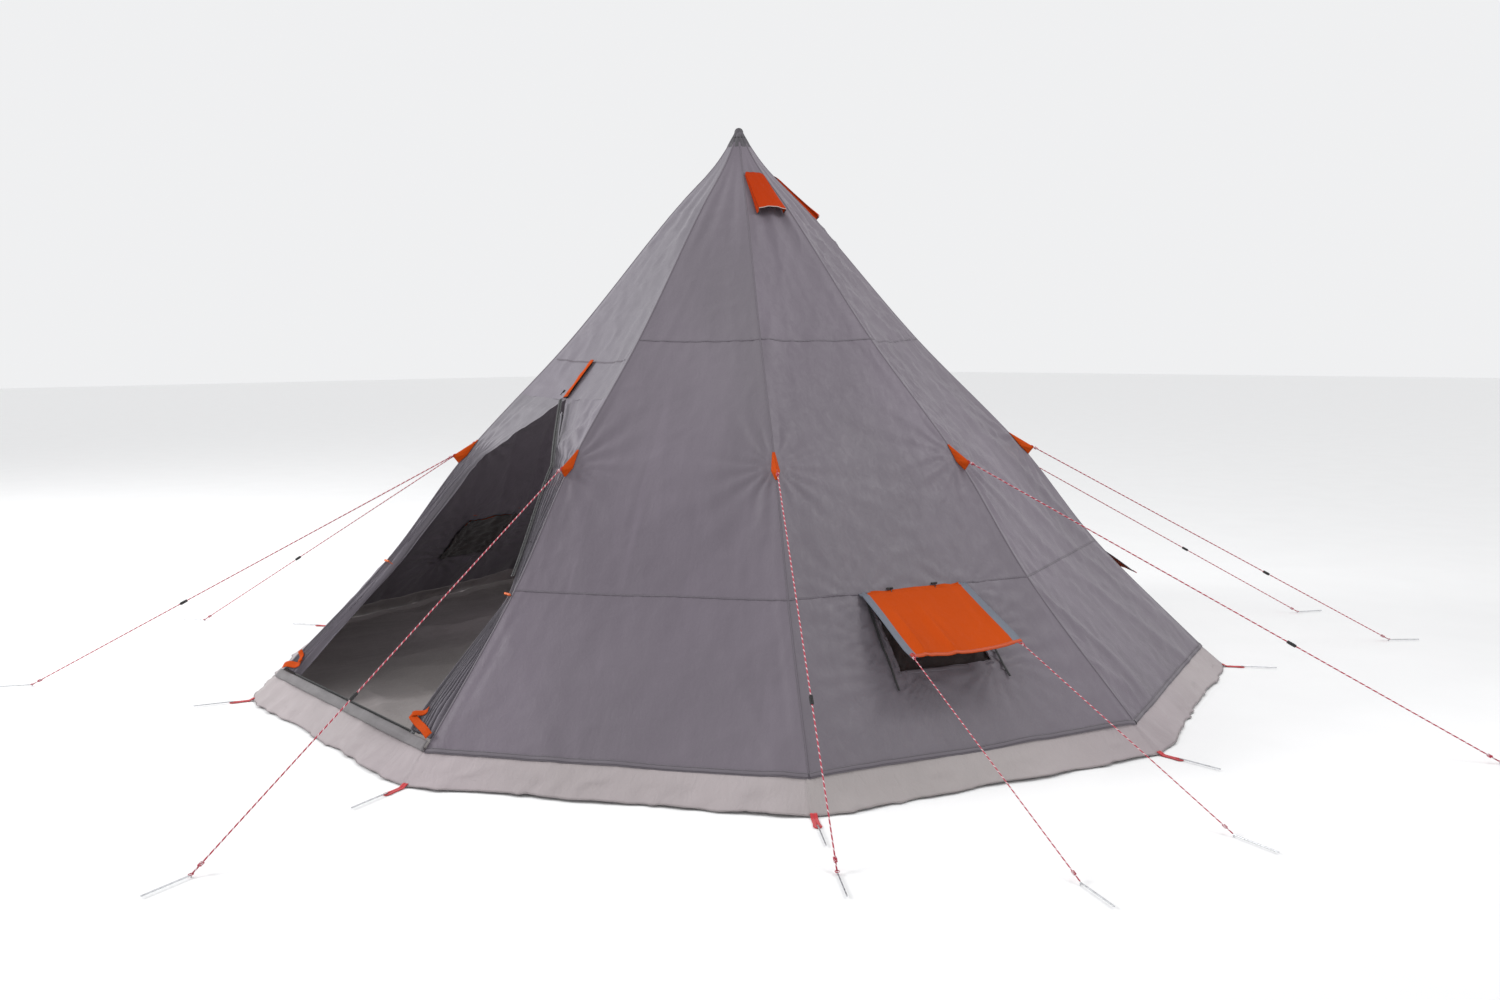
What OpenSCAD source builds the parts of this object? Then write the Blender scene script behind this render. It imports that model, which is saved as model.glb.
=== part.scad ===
// Ten-sided teepee tent on a single centre pole, pitched, with its door folded open.
// Origin: centre of the footprint on the ground. +Z is up. The door faces -Y. Millimetres.

/* [Canopy] */
// Distance from the centre to each corner of the footprint
corner_r = 2400; // [2100:10:2700]
// Height of the peak
peak_h = 2645; // [2600:5:2800]
// Height of the pale mud wall at the foot
mud_wall_h = 95; // [60:5:120]
// Height of the lower cloth seam, where the windows hang
low_seam_h = 595; // [560:5:640]
// Height of the ridge points that the guy lines pull
guy_h = 1065; // [1000:5:1120]
// Height of the upper cloth seam
high_seam_h = 1590; // [1540:10:1640]
// Height where the canopy narrows into the peak
neck_h = 2232; // [2180:4:2280]
// Height where the narrow throat under the peak begins
throat_h = 2460; // [2440:5:2480]
// Modelled thickness of a cloth wall, measured level
cloth_t = 10; // [6:1:14]

/* [Door] */
// Height of the cloth sill under the sill zip
sill_h = 125; // [110:5:140]
// Height of the top of the door opening
door_top_h = 1343; // [1300:1:1380]
// Half width of the opening at the sill
door_foot_w = 575; // [500:5:600]
// Half width of the opening where the leaves are tied back
door_tie_w = 510; // [450:5:520]
// Half width of the opening at the height of the guy points
door_head_w = 310; // [250:5:340]

/* [Windows and vents] */
// Width of a window awning
awning_w = 486; // [420:2:500]
// Length of a window awning down the slope
awning_l = 393; // [350:1:420]
// Angle that the front awning is held out from the wall
awning_open = 23; // [18:1:30]
// Angle that the awning on the right hangs off its wall
awning_slack = 12; // [4:1:16]
// Width of a window opening
window_w = 400; // [340:5:410]
// Length of a window opening down the slope
window_l = 320; // [260:5:330]
// How far the lower edge of a vent hood stands off the wall
hood_rise = 52; // [46:1:70]

/* [Pole] */
// Outer diameter of the pole sections
pole_d = 28; // [22:1:32]
// Wall thickness of the pole tube
pole_wall = 1.5; // [1:0.1:2]

/* [Guy lines and pegs] */
// Diameter of a guy line
guy_d = 5; // [4:0.5:6]
// Length of a peg's shank
peg_l = 160; // [120:5:180]
// Diameter of a peg's wire
peg_d = 5; // [4:0.5:6]
// Width of the peg loop webbing
loop_w = 25; // [20:1:30]
// Length of a peg loop outside the corner
loop_l = 90; // [70:5:100]

/* [Hidden] */
sides = 10;
step = 360 / sides;
half_step = step / 2;
seam = 0.5;
fine = 48;
coarse = 24;
clear = 0.5;

// Ridge outline: [height, distance from the centre axis]
mud_r = 0.955 * corner_r;
low_seam_r = 0.744 * corner_r;
guy_r = 0.588 * corner_r;
high_seam_r = 0.374 * corner_r;
neck_r = 0.143 * corner_r;
throat_r = 0.0525 * corner_r;
ridge = [
    [0, corner_r],
    [mud_wall_h, mud_r],
    [low_seam_h, low_seam_r],
    [guy_h, guy_r],
    [high_seam_h, high_seam_r],
    [neck_h, neck_r],
    [throat_h, throat_r],
    [peak_h, 0]
];
cap_l = 74;
cap_gap = 2;
cap_h = peak_h - cap_l;
canopy_top = cap_h - cap_gap;

// Door opening: [height, half width]
tie_h = 587;
zip_h = 10;
leaf_foot = sill_h + zip_h + 2 * clear;
opening = [
    [leaf_foot, door_foot_w],
    [tie_h, door_tie_w],
    [guy_h, door_head_w],
    [door_top_h, 0.5]
];
leaf_t = 30;
header_gap = 2;
zip_w = 10;
zip_t = 3;
zip_edge = 1;

// Windows are on every second wall after the door. The first of them is held open.
window_walls = [2, 4, 6, 8];
hinge_h = low_seam_h - 3;
hinge_lift = 11;
awning_t = 6;
window_drop = 16;
toggle_rise = 26;
toggle_x = 100;

// Ribbons: they start beside the awning and lean out as they hang
tie_w = 10;
tie_t = 1.5;
tie_l = 400;
tie_x = 222;
tie_drop = 20;
tie_lean = 3.5;

// Vent openings, and the hoods over them, just under the peak
vent_walls = [2, 4, 6];
vent_w = 60;
vent_l = 110;
vent_drop = 25;
hood_top_h = 2390;
hood_foot_h = 2212;
hood_t = 5;

// Pole joints
pole_start = 9;
pole_cuts = [905, 1765];
pole_top = peak_h - 34;
spigot_l = 70;
foot_h = 38;
sheet_t = 5;

// Guy line pegs: [turn from the ridge's bearing in degrees, distance from the centre axis]
guy_pegs_at = [
    [0, 3240],
    [0, 2830],
    [14, 3400],
    [12, 3400],
    [-12, 3300],
    [0, 3200],
    [0, 3200],
    [0, 3200],
    [0, 3200],
    [-12, 3400]
];
tab_top_h = guy_h + 65;
tab_foot_h = guy_h - 38;
tab_tip = [guy_r + 60, guy_h - 5];
tab_t = 8;
guy_end_h = 9;
guy_clear = 1;
runner_at = 0.64;
runner_d = 15;
runner_l = 38;
runner_sides = 12;

// Peg loops lie just off the ground, and a peg's bent end goes through the hole in each
floor_gap = 0.2;
loop_t = 3;
loop_hole = 9;
loop_end = 15;
loop_gap = 2;
hole_r = corner_r + loop_l - loop_end;
peg_rise = loop_t + peg_d / 2 + 1;

// Awning guy pegs, in the front window wall's own frame: [across, outward]
awning_pegs_at = [[-270, 3050], [395, 2975]];
// Where an awning guy line starts: in from the awning's side, and past its lower edge
awning_guy_inset = 6;
awning_guy_past = 4;

// ---------- shared geometry ----------

function ridge_r(h) = lookup(h, ridge);
function wall_y(h) = -ridge_r(h) * cos(half_step);
function half_w(h) = ridge_r(h) * sin(half_step) - seam;
function open_w(h) = lookup(h, opening);
function grade(low, high) = atan2(high - low, wall_y(high) - wall_y(low));

// A closed tube of rings; each ring's points run counter-clockwise seen from the last ring
module skin(rings) {
    count = len(rings[0]);
    last = len(rings) - 1;
    points = [for (ring = rings) each ring];
    faces = concat(
        [[for (i = [0 : count - 1]) i]],
        [[for (i = [count - 1 : -1 : 0]) last * count + i]],
        [for (r = [0 : last - 1]) for (i = [0 : count - 1])
            let (j = (i + 1) % count, a = r * count, b = a + count)
            each [[a + i, b + i, b + j], [a + i, b + j, a + j]]]
    );
    polyhedron(points, faces);
}

// One level of a wall, between two places across it, in the frame of the wall that faces -Y
function level(h, left, right, thick, lift = 0) =
    let (y = wall_y(h) - lift)
    [[left, y, h], [right, y, h], [right, y + thick, h], [left, y + thick, h]];

// One level of a whole wall, mitred at both ridges
function wall_level(h, thick = cloth_t) =
    let (y = wall_y(h), w = half_w(h), inner = w - thick * tan(half_step))
    [[-w, y, h], [w, y, h], [inner, y + thick, h], [-inner, y + thick, h]];

// Turns a wall that faces -Y round to wall k
module at_wall(k) {
    rotate([0, 0, k * step])
        children();
}

// Local frame on wall k at height h: x across, y up the slope, z out of the wall
module on_wall(k, h, low, high) {
    at_wall(k)
        translate([0, wall_y(h), h])
            rotate([grade(low, high), 0, 0])
                children();
}

// Turns a profile drawn in the XZ plane round to ridge j; ridge 0 is right of the door
module at_ridge(j) {
    rotate([0, 0, -90 + half_step + j * step])
        children();
}

// ---------- canopy ----------

// One flat band of cloth between two heights
module band(low, high) {
    skin([wall_level(low + seam), wall_level(high - seam)]);
}

// The bands from the lower seam up to the neck
module middle_bands() {
    band(low_seam_h, guy_h);
    band(guy_h, high_seam_h);
    band(high_seam_h, neck_h);
}

// The two bands above the neck of a wall, the lower one with a vent where the wall has one
module top_bands(k) {
    at_wall(k)
        band(throat_h, canopy_top);
    if (len(search(k, vent_walls)) > 0)
        strips_round(k, neck_h, neck_h, throat_h, vent_w, vent_drop, vent_drop + vent_l);
    else
        at_wall(k)
            band(neck_h, throat_h);
}

module plain_wall(k) {
    color("#736e78") {
        at_wall(k) {
            band(mud_wall_h, low_seam_h);
            middle_bands();
        }
        top_bands(k);
    }
}

// Cuts a band of wall into four flat strips round a hole; x across the wall, y up its slope
module strips_round(k, h, low, high, hole_w, hole_foot, hole_top) {
    far = corner_r;
    thick = 4 * cloth_t;
    side_x = hole_w / 2 + seam;
    strips = [
        [-far, -far, far - side_x, 2 * far],
        [side_x, -far, far - side_x, 2 * far],
        [-hole_w / 2, -far, hole_w, far + hole_foot],
        [-hole_w / 2, hole_top, hole_w, far - hole_top]
    ];
    for (strip = strips)
        intersection() {
            at_wall(k)
                band(low, high);
            on_wall(k, h, low, high)
                translate([strip[0], strip[1], -thick / 2])
                    cube([strip[2], strip[3], thick]);
        }
}

module window_wall(k) {
    color("#75727a") {
        strips_round(k, hinge_h, mud_wall_h, low_seam_h, window_w,
            -window_drop - window_l, -window_drop);
        at_wall(k)
            middle_bands();
        top_bands(k);
    }
}

// The three walls at the back, which hold the rear window
module rear_walls() {
    plain_wall(5);
    window_wall(6);
    plain_wall(7);
}

module mud_wall() {
    color("#a89c9e")
        for (k = [0 : sides - 1])
            at_wall(k)
                skin([wall_level(0), wall_level(mud_wall_h - seam)]);
}

module groundsheet() {
    color("#7d7a78")
        linear_extrude(sheet_t)
            circle(r = corner_r - 3 * cloth_t, $fn = sides);
}

module peak_cap() {
    dome_r = 22;
    skirt_r = 55;
    hem = 4;
    color("#46434a")
        rotate_extrude($fn = fine)
            difference() {
                union() {
                    polygon([
                        [0, cap_h],
                        [skirt_r, cap_h],
                        [skirt_r - hem / 4, cap_h + hem],
                        [dome_r, peak_h - dome_r],
                        [0, peak_h - dome_r]
                    ]);
                    intersection() {
                        translate([0, peak_h - dome_r])
                            circle(r = dome_r, $fn = fine);
                        translate([0, peak_h - dome_r])
                            square(dome_r + 1);
                    }
                }
                square([pole_d / 2 + clear, pole_top + clear]);
            }
}

// ---------- door ----------

module door_header() {
    color("#8b878d")
        at_wall(0) {
            band(door_top_h + header_gap, high_seam_h);
            band(high_seam_h, neck_h);
            band(neck_h, throat_h);
            band(throat_h, canopy_top);
        }
}

module door_sill() {
    color("#67646b")
        skin([wall_level(mud_wall_h + seam), wall_level(sill_h)]);
}

// One level of the right door leaf, folded back along its ridge
function leaf_level(h, thick) =
    let (y = wall_y(h), w = half_w(h), left = open_w(h))
    [[left, y, h], [w, y, h], [w - thick * tan(half_step), y + thick, h], [left, y + thick, h]];

module door_leaf() {
    color("#7f7a83")
        skin([
            leaf_level(leaf_foot, leaf_t),
            leaf_level(tie_h, leaf_t),
            leaf_level(guy_h, leaf_t / 2),
            leaf_level(door_top_h, cloth_t)
        ]);
}

module door_leaf_left() {
    mirror([1, 0, 0])
        door_leaf();
}

module door_leaf_right() {
    door_leaf();
}

// Insect mesh door, rolled to the right edge inside the leaf
module mesh_door_roll() {
    roll_w = 46;
    roll_t = 26;
    roll_foot = 640;
    roll_top = 1290;
    roll_gap = 3;
    color("#4a4850")
        skin([for (h = [roll_foot, guy_h, roll_top])
            level(h, open_w(h) - roll_w / 2, open_w(h) + roll_w / 2, roll_t, -leaf_t - roll_gap)]);
}

// Strip that covers the closed top of the door zip, sewn down along one edge
module door_rain_flap() {
    flap_w = 44;
    flap_l = 230;
    flap_t = 3;
    flap_rise = 16;
    flap_start = 7;
    left = -flap_w / 2;
    color("#e0622a")
        on_wall(0, door_top_h + flap_start, guy_h, high_seam_h)
            translate([0, flap_l, 0])
                rotate([90, 0, 0])
                    linear_extrude(flap_l)
                        polygon([
                            [left, clear],
                            [left + flap_t, clear],
                            [left + flap_t, flap_rise - flap_t],
                            [left + flap_w, flap_rise - flap_t],
                            [left + flap_w, flap_rise],
                            [left, flap_rise]
                        ]);
}

module zip_tapes() {
    closed_l = 156;
    closed_foot = door_top_h + 2 * header_gap;
    free_foot = tie_h + 60;
    free_top = door_top_h - 20;
    color("#1d1c1f") {
        skin([for (h = [sill_h + zip_edge, sill_h + zip_h - zip_edge])
            level(h, -door_foot_w, door_foot_w, zip_t)]);
        skin([for (h = [closed_foot, closed_foot + closed_l])
            level(h, -zip_w / 2, zip_w / 2, zip_t, zip_t + zip_edge)]);
        skin([for (h = [free_foot, guy_h, free_top])
            level(h, open_w(h) - zip_w, open_w(h) - zip_edge, zip_t, -2 * zip_edge)]);
    }
}

// Zip slider: a flat body with a hanging pull; x across, y along the zip, z out
module zip_slider() {
    body_w = 9;
    body_l = 14;
    body_t = 4;
    pull_w = 3;
    pull_l = 26;
    pull_t = 2.5;
    pull_lap = 8;
    color("#2a292d") {
        translate([-body_w / 2, 0, 0])
            cube([body_w, body_l, body_t]);
        translate([-pull_w / 2, pull_lap - pull_l, body_t - clear])
            cube([pull_w, pull_l, pull_t]);
    }
}

module door_zip_slider() {
    parked = 10;
    on_wall(0, door_top_h + parked, guy_h, high_seam_h)
        translate([0, 0, zip_t + clear])
            zip_slider();
}

module sill_zip_slider() {
    parked = 12;
    lift = 2;
    on_wall(0, sill_h + zip_h / 2, mud_wall_h, low_seam_h)
        translate([door_foot_w - parked, 0, lift])
            rotate([0, 0, 90])
                zip_slider();
}

// ---------- toggles and ties ----------

// Barrel toggle, lying across
module toggle(d, l) {
    translate([-l / 2, 0, d / 2])
        rotate([0, 90, 0])
            cylinder(d = d, h = l, $fn = coarse);
}

module toggles() {
    door_toggle = [9, 42];
    awning_toggle = [8, 30];
    lift = 1;
    door_toggle_x = (door_tie_w + half_w(tie_h)) / 2;
    color("#e0622a")
        for (side = [-1, 1])
            on_wall(0, tie_h, mud_wall_h, low_seam_h)
                translate([side * door_toggle_x, 0, lift])
                    toggle(door_toggle[0], door_toggle[1]);
    color("#1d1c1f")
        for (k = window_walls, side = [-1, 1])
            on_wall(k, low_seam_h + toggle_rise, low_seam_h, guy_h)
                translate([side * toggle_x, 0, lift])
                    toggle(awning_toggle[0], awning_toggle[1]);
}

// Ribbons that hang down the wall beside each window and tie the awning up
module awning_ties() {
    color("#1d1c1f")
        for (k = window_walls, side = [-1, 1])
            on_wall(k, hinge_h, mud_wall_h, low_seam_h)
                translate([side * tie_x, -tie_drop, 1])
                    rotate([0, 0, side * tie_lean])
                        translate([-tie_w / 2, -tie_l, 0])
                            cube([tie_w, tie_l, tie_t]);
}

// ---------- windows and vents ----------

// Awning, hinged at its top edge, swung out by an angle
module awning(k, angle) {
    color("#e0622a")
        on_wall(k, hinge_h, mud_wall_h, low_seam_h)
            translate([0, 0, hinge_lift])
                rotate([-angle, 0, 0])
                    translate([-awning_w / 2, -awning_l, -awning_t / 2])
                        cube([awning_w, awning_l, awning_t]);
}

module mesh_panels() {
    mesh_t = 3;
    lap = 20;
    vent_lap = [3, 10];
    inside = cloth_t + 1;
    color("#26242a")
        for (k = window_walls)
            on_wall(k, hinge_h, mud_wall_h, low_seam_h)
                translate([-window_w / 2 - lap, -window_drop - window_l - lap, -inside - mesh_t])
                    cube([window_w + 2 * lap, window_l + lap, mesh_t]);
    color("#26242a")
        for (k = vent_walls)
            on_wall(k, neck_h, neck_h, throat_h)
                translate([-vent_w / 2 - vent_lap[0], vent_drop - vent_lap[1], -inside - mesh_t])
                    cube([vent_w + 2 * vent_lap[0], vent_l + vent_lap[1], mesh_t]);
}

// Vent hood: a tapered flap, sewn down at its top and propped out at its foot
module vent_hood(k) {
    top_w = 50;
    foot_w = 72;
    sewn_gap = 7;
    top_y = wall_y(hood_top_h) - sewn_gap;
    foot_y = wall_y(hood_foot_h) - hood_rise;
    color("#e0622a")
        at_wall(k)
            skin([
                [[-foot_w, foot_y - hood_t, hood_foot_h], [foot_w, foot_y - hood_t, hood_foot_h],
                 [foot_w, foot_y, hood_foot_h], [-foot_w, foot_y, hood_foot_h]],
                [[-top_w, top_y - hood_t, hood_top_h], [top_w, top_y - hood_t, hood_top_h],
                 [top_w, top_y, hood_top_h], [-top_w, top_y, hood_top_h]]
            ]);
}

// ---------- pole ----------

// One tube section: its spigot goes down into the section below
module pole_section(from, to, spigot) {
    bore_d = pole_d - 2 * pole_wall;
    spigot_d = bore_d - 0.6;
    collar = 2;
    color("#8f9296")
        difference() {
            union() {
                translate([0, 0, from])
                    cylinder(d = pole_d, h = to - from, $fn = fine);
                if (spigot)
                    translate([0, 0, from - spigot_l])
                        cylinder(d = spigot_d, h = spigot_l + 1, $fn = fine);
            }
            translate([0, 0, from + collar])
                cylinder(d = bore_d, h = to - from, $fn = fine);
            translate([0, 0, from - spigot_l - 1])
                cylinder(d = spigot_d - 2 * pole_wall, h = spigot_l + 2 * collar, $fn = fine);
        }
}

module pole_lower() {
    pole_section(pole_start, pole_cuts[0], false);
}

module pole_middle() {
    pole_section(pole_cuts[0] + clear, pole_cuts[1], true);
}

module pole_upper() {
    pole_section(pole_cuts[1] + clear, pole_top, true);
}

module pole_foot() {
    foot_d = pole_d + 18;
    rim_d = pole_d + 8;
    color("#232226")
        difference() {
            translate([0, 0, sheet_t + floor_gap])
                cylinder(d1 = foot_d, d2 = rim_d, h = foot_h, $fn = fine);
            translate([0, 0, pole_start - floor_gap])
                cylinder(d = pole_d + clear, h = foot_h, $fn = fine);
        }
}

// ---------- guy lines, tabs, loops and pegs ----------

// Where a guy line ends on its tab, and at its peg
function bearing(j) = -90 + half_step + j * step;
function tab_point(j) =
    let (r = tab_tip[0] + guy_clear)
    [r * cos(bearing(j)), r * sin(bearing(j)), tab_tip[1] - guy_clear / 2];
function peg_bearing(j) = bearing(j) + guy_pegs_at[j][0];
function peg_point(j) =
    [guy_pegs_at[j][1] * cos(peg_bearing(j)), guy_pegs_at[j][1] * sin(peg_bearing(j)), guy_end_h];

// Places a child drawn along +Z, so that it points from one place to another
module aim(from, to) {
    d = to - from;
    translate(from)
        rotate([0, acos(d[2] / norm(d)), atan2(d[1], d[0])])
            children();
}

// A taut line: rings of eight points along a straight route
module taut_line(from, to, d) {
    rings = 6;
    long = norm(to - from);
    aim(from, to)
        skin([for (i = [0 : rings])
            [for (a = [0 : 45 : 315])
                [d / 2 * cos(a), d / 2 * sin(a), long * i / rings]]]);
}

module guy_line(j) {
    color("#d8504e")
        taut_line(tab_point(j), peg_point(j), guy_d);
}

// Corner of the front awning, just outside its cloth
function turned(p, a) = [p[0], p[1] * cos(a) - p[2] * sin(a), p[1] * sin(a) + p[2] * cos(a)];

function awning_corner(side) =
    let (
        low_edge = [side * (awning_w / 2 - awning_guy_inset), -awning_l - awning_guy_past, 0],
        swung = turned(low_edge, -awning_open),
        lifted = swung + [0, 0, hinge_lift]
    )
    turned(lifted, grade(mud_wall_h, low_seam_h)) + [0, wall_y(hinge_h), hinge_h];

module awning_guy(side) {
    peg = awning_pegs_at[side < 0 ? 0 : 1];
    color("#d8504e")
        at_wall(window_walls[0])
            taut_line(awning_corner(side), [peg[0], -peg[1], guy_end_h], guy_d - 1);
}

// Reinforced triangle sewn over a ridge, standing out where the guy line pulls
module guy_tabs() {
    gap = 1;
    color("#e0622a")
        for (j = [0 : sides - 1])
            at_ridge(j)
                translate([0, tab_t / 2, 0])
                    rotate([90, 0, 0])
                        linear_extrude(tab_t)
                            polygon([
                                [ridge_r(tab_foot_h) + gap, tab_foot_h],
                                tab_tip,
                                [ridge_r(tab_top_h) + gap, tab_top_h],
                                [guy_r + gap, guy_h]
                            ]);
}

// Webbing loop at each corner of the mud wall, with the hole that a peg goes through
module peg_loops() {
    color("#c8202e")
        for (j = [0 : sides - 1])
            at_ridge(j)
                difference() {
                    translate([corner_r + loop_gap, -loop_w / 2, floor_gap])
                        cube([loop_l, loop_w, loop_t]);
                    translate([hole_r, 0, -loop_t])
                        cylinder(d = loop_hole, h = 3 * loop_t, $fn = coarse);
                }
}

// Wire peg, laid flat: a shank along +x and a bent end that points down
module peg() {
    translate([0, 0, floor_gap])
        cylinder(d = peg_d, h = peg_rise, $fn = coarse);
    translate([0, 0, peg_rise])
        sphere(d = peg_d, $fn = coarse);
    translate([0, 0, peg_rise])
        rotate([0, 90, 0])
            cylinder(d = peg_d, h = peg_l, $fn = coarse);
}

module corner_pegs() {
    color("#9a9ca0")
        for (j = [0 : sides - 1])
            at_ridge(j)
                translate([hole_r, 0, 0])
                    peg();
}

module guy_pegs() {
    color("#9a9ca0") {
        for (j = [0 : sides - 1])
            rotate([0, 0, peg_bearing(j)])
                translate([guy_pegs_at[j][1] + peg_d / 2 + guy_clear, 0, 0])
                    peg();
        at_wall(window_walls[0])
            for (spot = awning_pegs_at)
                translate([spot[0], -spot[1], 0])
                    rotate([0, 0, atan2(-spot[1], spot[0])])
                        translate([peg_d / 2 + guy_clear, 0, 0])
                            peg();
    }
}

// Line runner: a short barrel that the guy line passes through
module line_runner(j) {
    from = tab_point(j);
    to = peg_point(j);
    start = runner_at * norm(to - from) - runner_l / 2;
    color("#1d1c1f")
        aim(from, to)
            translate([0, 0, start])
                difference() {
                    cylinder(d = runner_d, h = runner_l, $fn = runner_sides);
                    translate([0, 0, -1])
                        cylinder(d = guy_d + 2, h = runner_l + 2, $fn = runner_sides);
                }
}

// ---------- nodes ----------

pole_lower();
pole_middle();
pole_upper();
pole_foot();
peak_cap();
groundsheet();
mud_wall();
plain_wall(1);  // wall_1
window_wall(2);  // wall_2_front_window
plain_wall(3);  // wall_3
window_wall(4);  // wall_4_window
rear_walls();  // walls_5_6_7_rear
window_wall(8);  // wall_8_window
plain_wall(9);  // wall_9
door_header();
door_sill();
door_leaf_left();
door_leaf_right();
mesh_door_roll();
door_rain_flap();
zip_tapes();
door_zip_slider();
sill_zip_slider();
toggles();
awning(2, awning_open);  // awning_front
awning(4, awning_slack);  // awning_right
awning(6, 0);  // awning_rear
awning(8, 0);  // awning_left
mesh_panels();
awning_ties();
vent_hood(2);  // vent_hood_front
vent_hood(4);  // vent_hood_right
vent_hood(6);  // vent_hood_rear
guy_tabs();
peg_loops();
corner_pegs();
guy_pegs();
guy_line(0);  // guy_line_0
guy_line(1);  // guy_line_1
guy_line(2);  // guy_line_2
guy_line(3);  // guy_line_3
guy_line(4);  // guy_line_4
guy_line(5);  // guy_line_5
guy_line(6);  // guy_line_6
guy_line(7);  // guy_line_7
guy_line(8);  // guy_line_8
guy_line(9);  // guy_line_9
awning_guy(-1);  // awning_guy_left
awning_guy(1);  // awning_guy_right
line_runner(0);  // line_runner_0
line_runner(1);  // line_runner_1
line_runner(2);  // line_runner_2
line_runner(3);  // line_runner_3
line_runner(4);  // line_runner_4
line_runner(5);  // line_runner_5
line_runner(6);  // line_runner_6
line_runner(7);  // line_runner_7
line_runner(8);  // line_runner_8
line_runner(9);  // line_runner_9
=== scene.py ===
import math

import bmesh
import bpy
import numpy as np
from mathutils import Matrix, Vector


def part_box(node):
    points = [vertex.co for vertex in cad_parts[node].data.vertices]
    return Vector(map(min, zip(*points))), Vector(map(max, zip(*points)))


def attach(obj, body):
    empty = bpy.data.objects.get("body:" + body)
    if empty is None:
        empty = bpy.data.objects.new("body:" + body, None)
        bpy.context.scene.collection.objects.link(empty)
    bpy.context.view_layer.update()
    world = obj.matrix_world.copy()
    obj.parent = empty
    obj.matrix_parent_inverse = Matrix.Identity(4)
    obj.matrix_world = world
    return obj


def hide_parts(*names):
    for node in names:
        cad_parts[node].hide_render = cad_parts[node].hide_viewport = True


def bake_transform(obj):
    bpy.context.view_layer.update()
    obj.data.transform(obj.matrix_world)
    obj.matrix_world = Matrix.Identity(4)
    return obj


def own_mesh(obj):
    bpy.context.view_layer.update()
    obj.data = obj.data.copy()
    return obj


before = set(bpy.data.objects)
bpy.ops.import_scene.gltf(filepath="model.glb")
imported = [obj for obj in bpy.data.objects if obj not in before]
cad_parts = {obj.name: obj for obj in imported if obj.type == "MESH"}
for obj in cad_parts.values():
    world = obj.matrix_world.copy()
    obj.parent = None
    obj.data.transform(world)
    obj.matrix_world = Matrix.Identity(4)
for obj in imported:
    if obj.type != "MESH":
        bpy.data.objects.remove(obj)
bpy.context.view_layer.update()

SIDES = 10
STEP = 2 * math.pi / SIDES
HALF = STEP / 2
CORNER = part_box("mud_wall")[1].x
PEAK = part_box("peak_cap")[1].z
MUD_H = 0.095
LOW_SEAM = 0.595
GUY_H = 1.065
HIGH_SEAM = 1.59
NECK_H = 2.232
THROAT_H = 2.46
CANOPY_TOP = PEAK - 0.076
WINDOWS = {2: "front", 4: "right", 6: "rear", 8: "left"}
VENTS = (2, 4, 6)

# Ridge outline: heights, and distances from the centre axis
RIDGE_H = np.array([0, MUD_H, LOW_SEAM, GUY_H, HIGH_SEAM, NECK_H, THROAT_H, PEAK])
RIDGE_R = CORNER * np.array([1, 0.955, 0.744, 0.588, 0.374, 0.143, 0.0525, 0])


# ---------- camera ----------


def aim_camera():
    """A person's eye height in front of wall 2's left ridge, looking slightly down at the pole."""
    spot = Vector((4.669, -4.140, 1.543))
    yaw, pitch, roll = -0.0070, -0.1234, 0.0067
    to_pole = Vector((-spot.x, -spot.y, 0)).normalized()
    forward = Matrix.Rotation(yaw, 3, "Z") @ to_pole
    right = forward.cross(Vector((0, 0, 1)))
    forward = Matrix.Rotation(pitch, 3, right) @ forward
    right = Matrix.Rotation(roll, 3, forward) @ right
    up = right.cross(forward)
    lens = bpy.data.cameras.new("camera")
    lens.sensor_width = 36
    lens.lens = 29.06
    camera = bpy.data.objects.new("camera", lens)
    axes = Matrix((right, up, -forward)).transposed()
    camera.matrix_world = Matrix.Translation(spot) @ axes.to_4x4()
    bpy.context.scene.collection.objects.link(camera)
    bpy.context.scene.camera = camera


aim_camera()

# ---------- materials ----------


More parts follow.
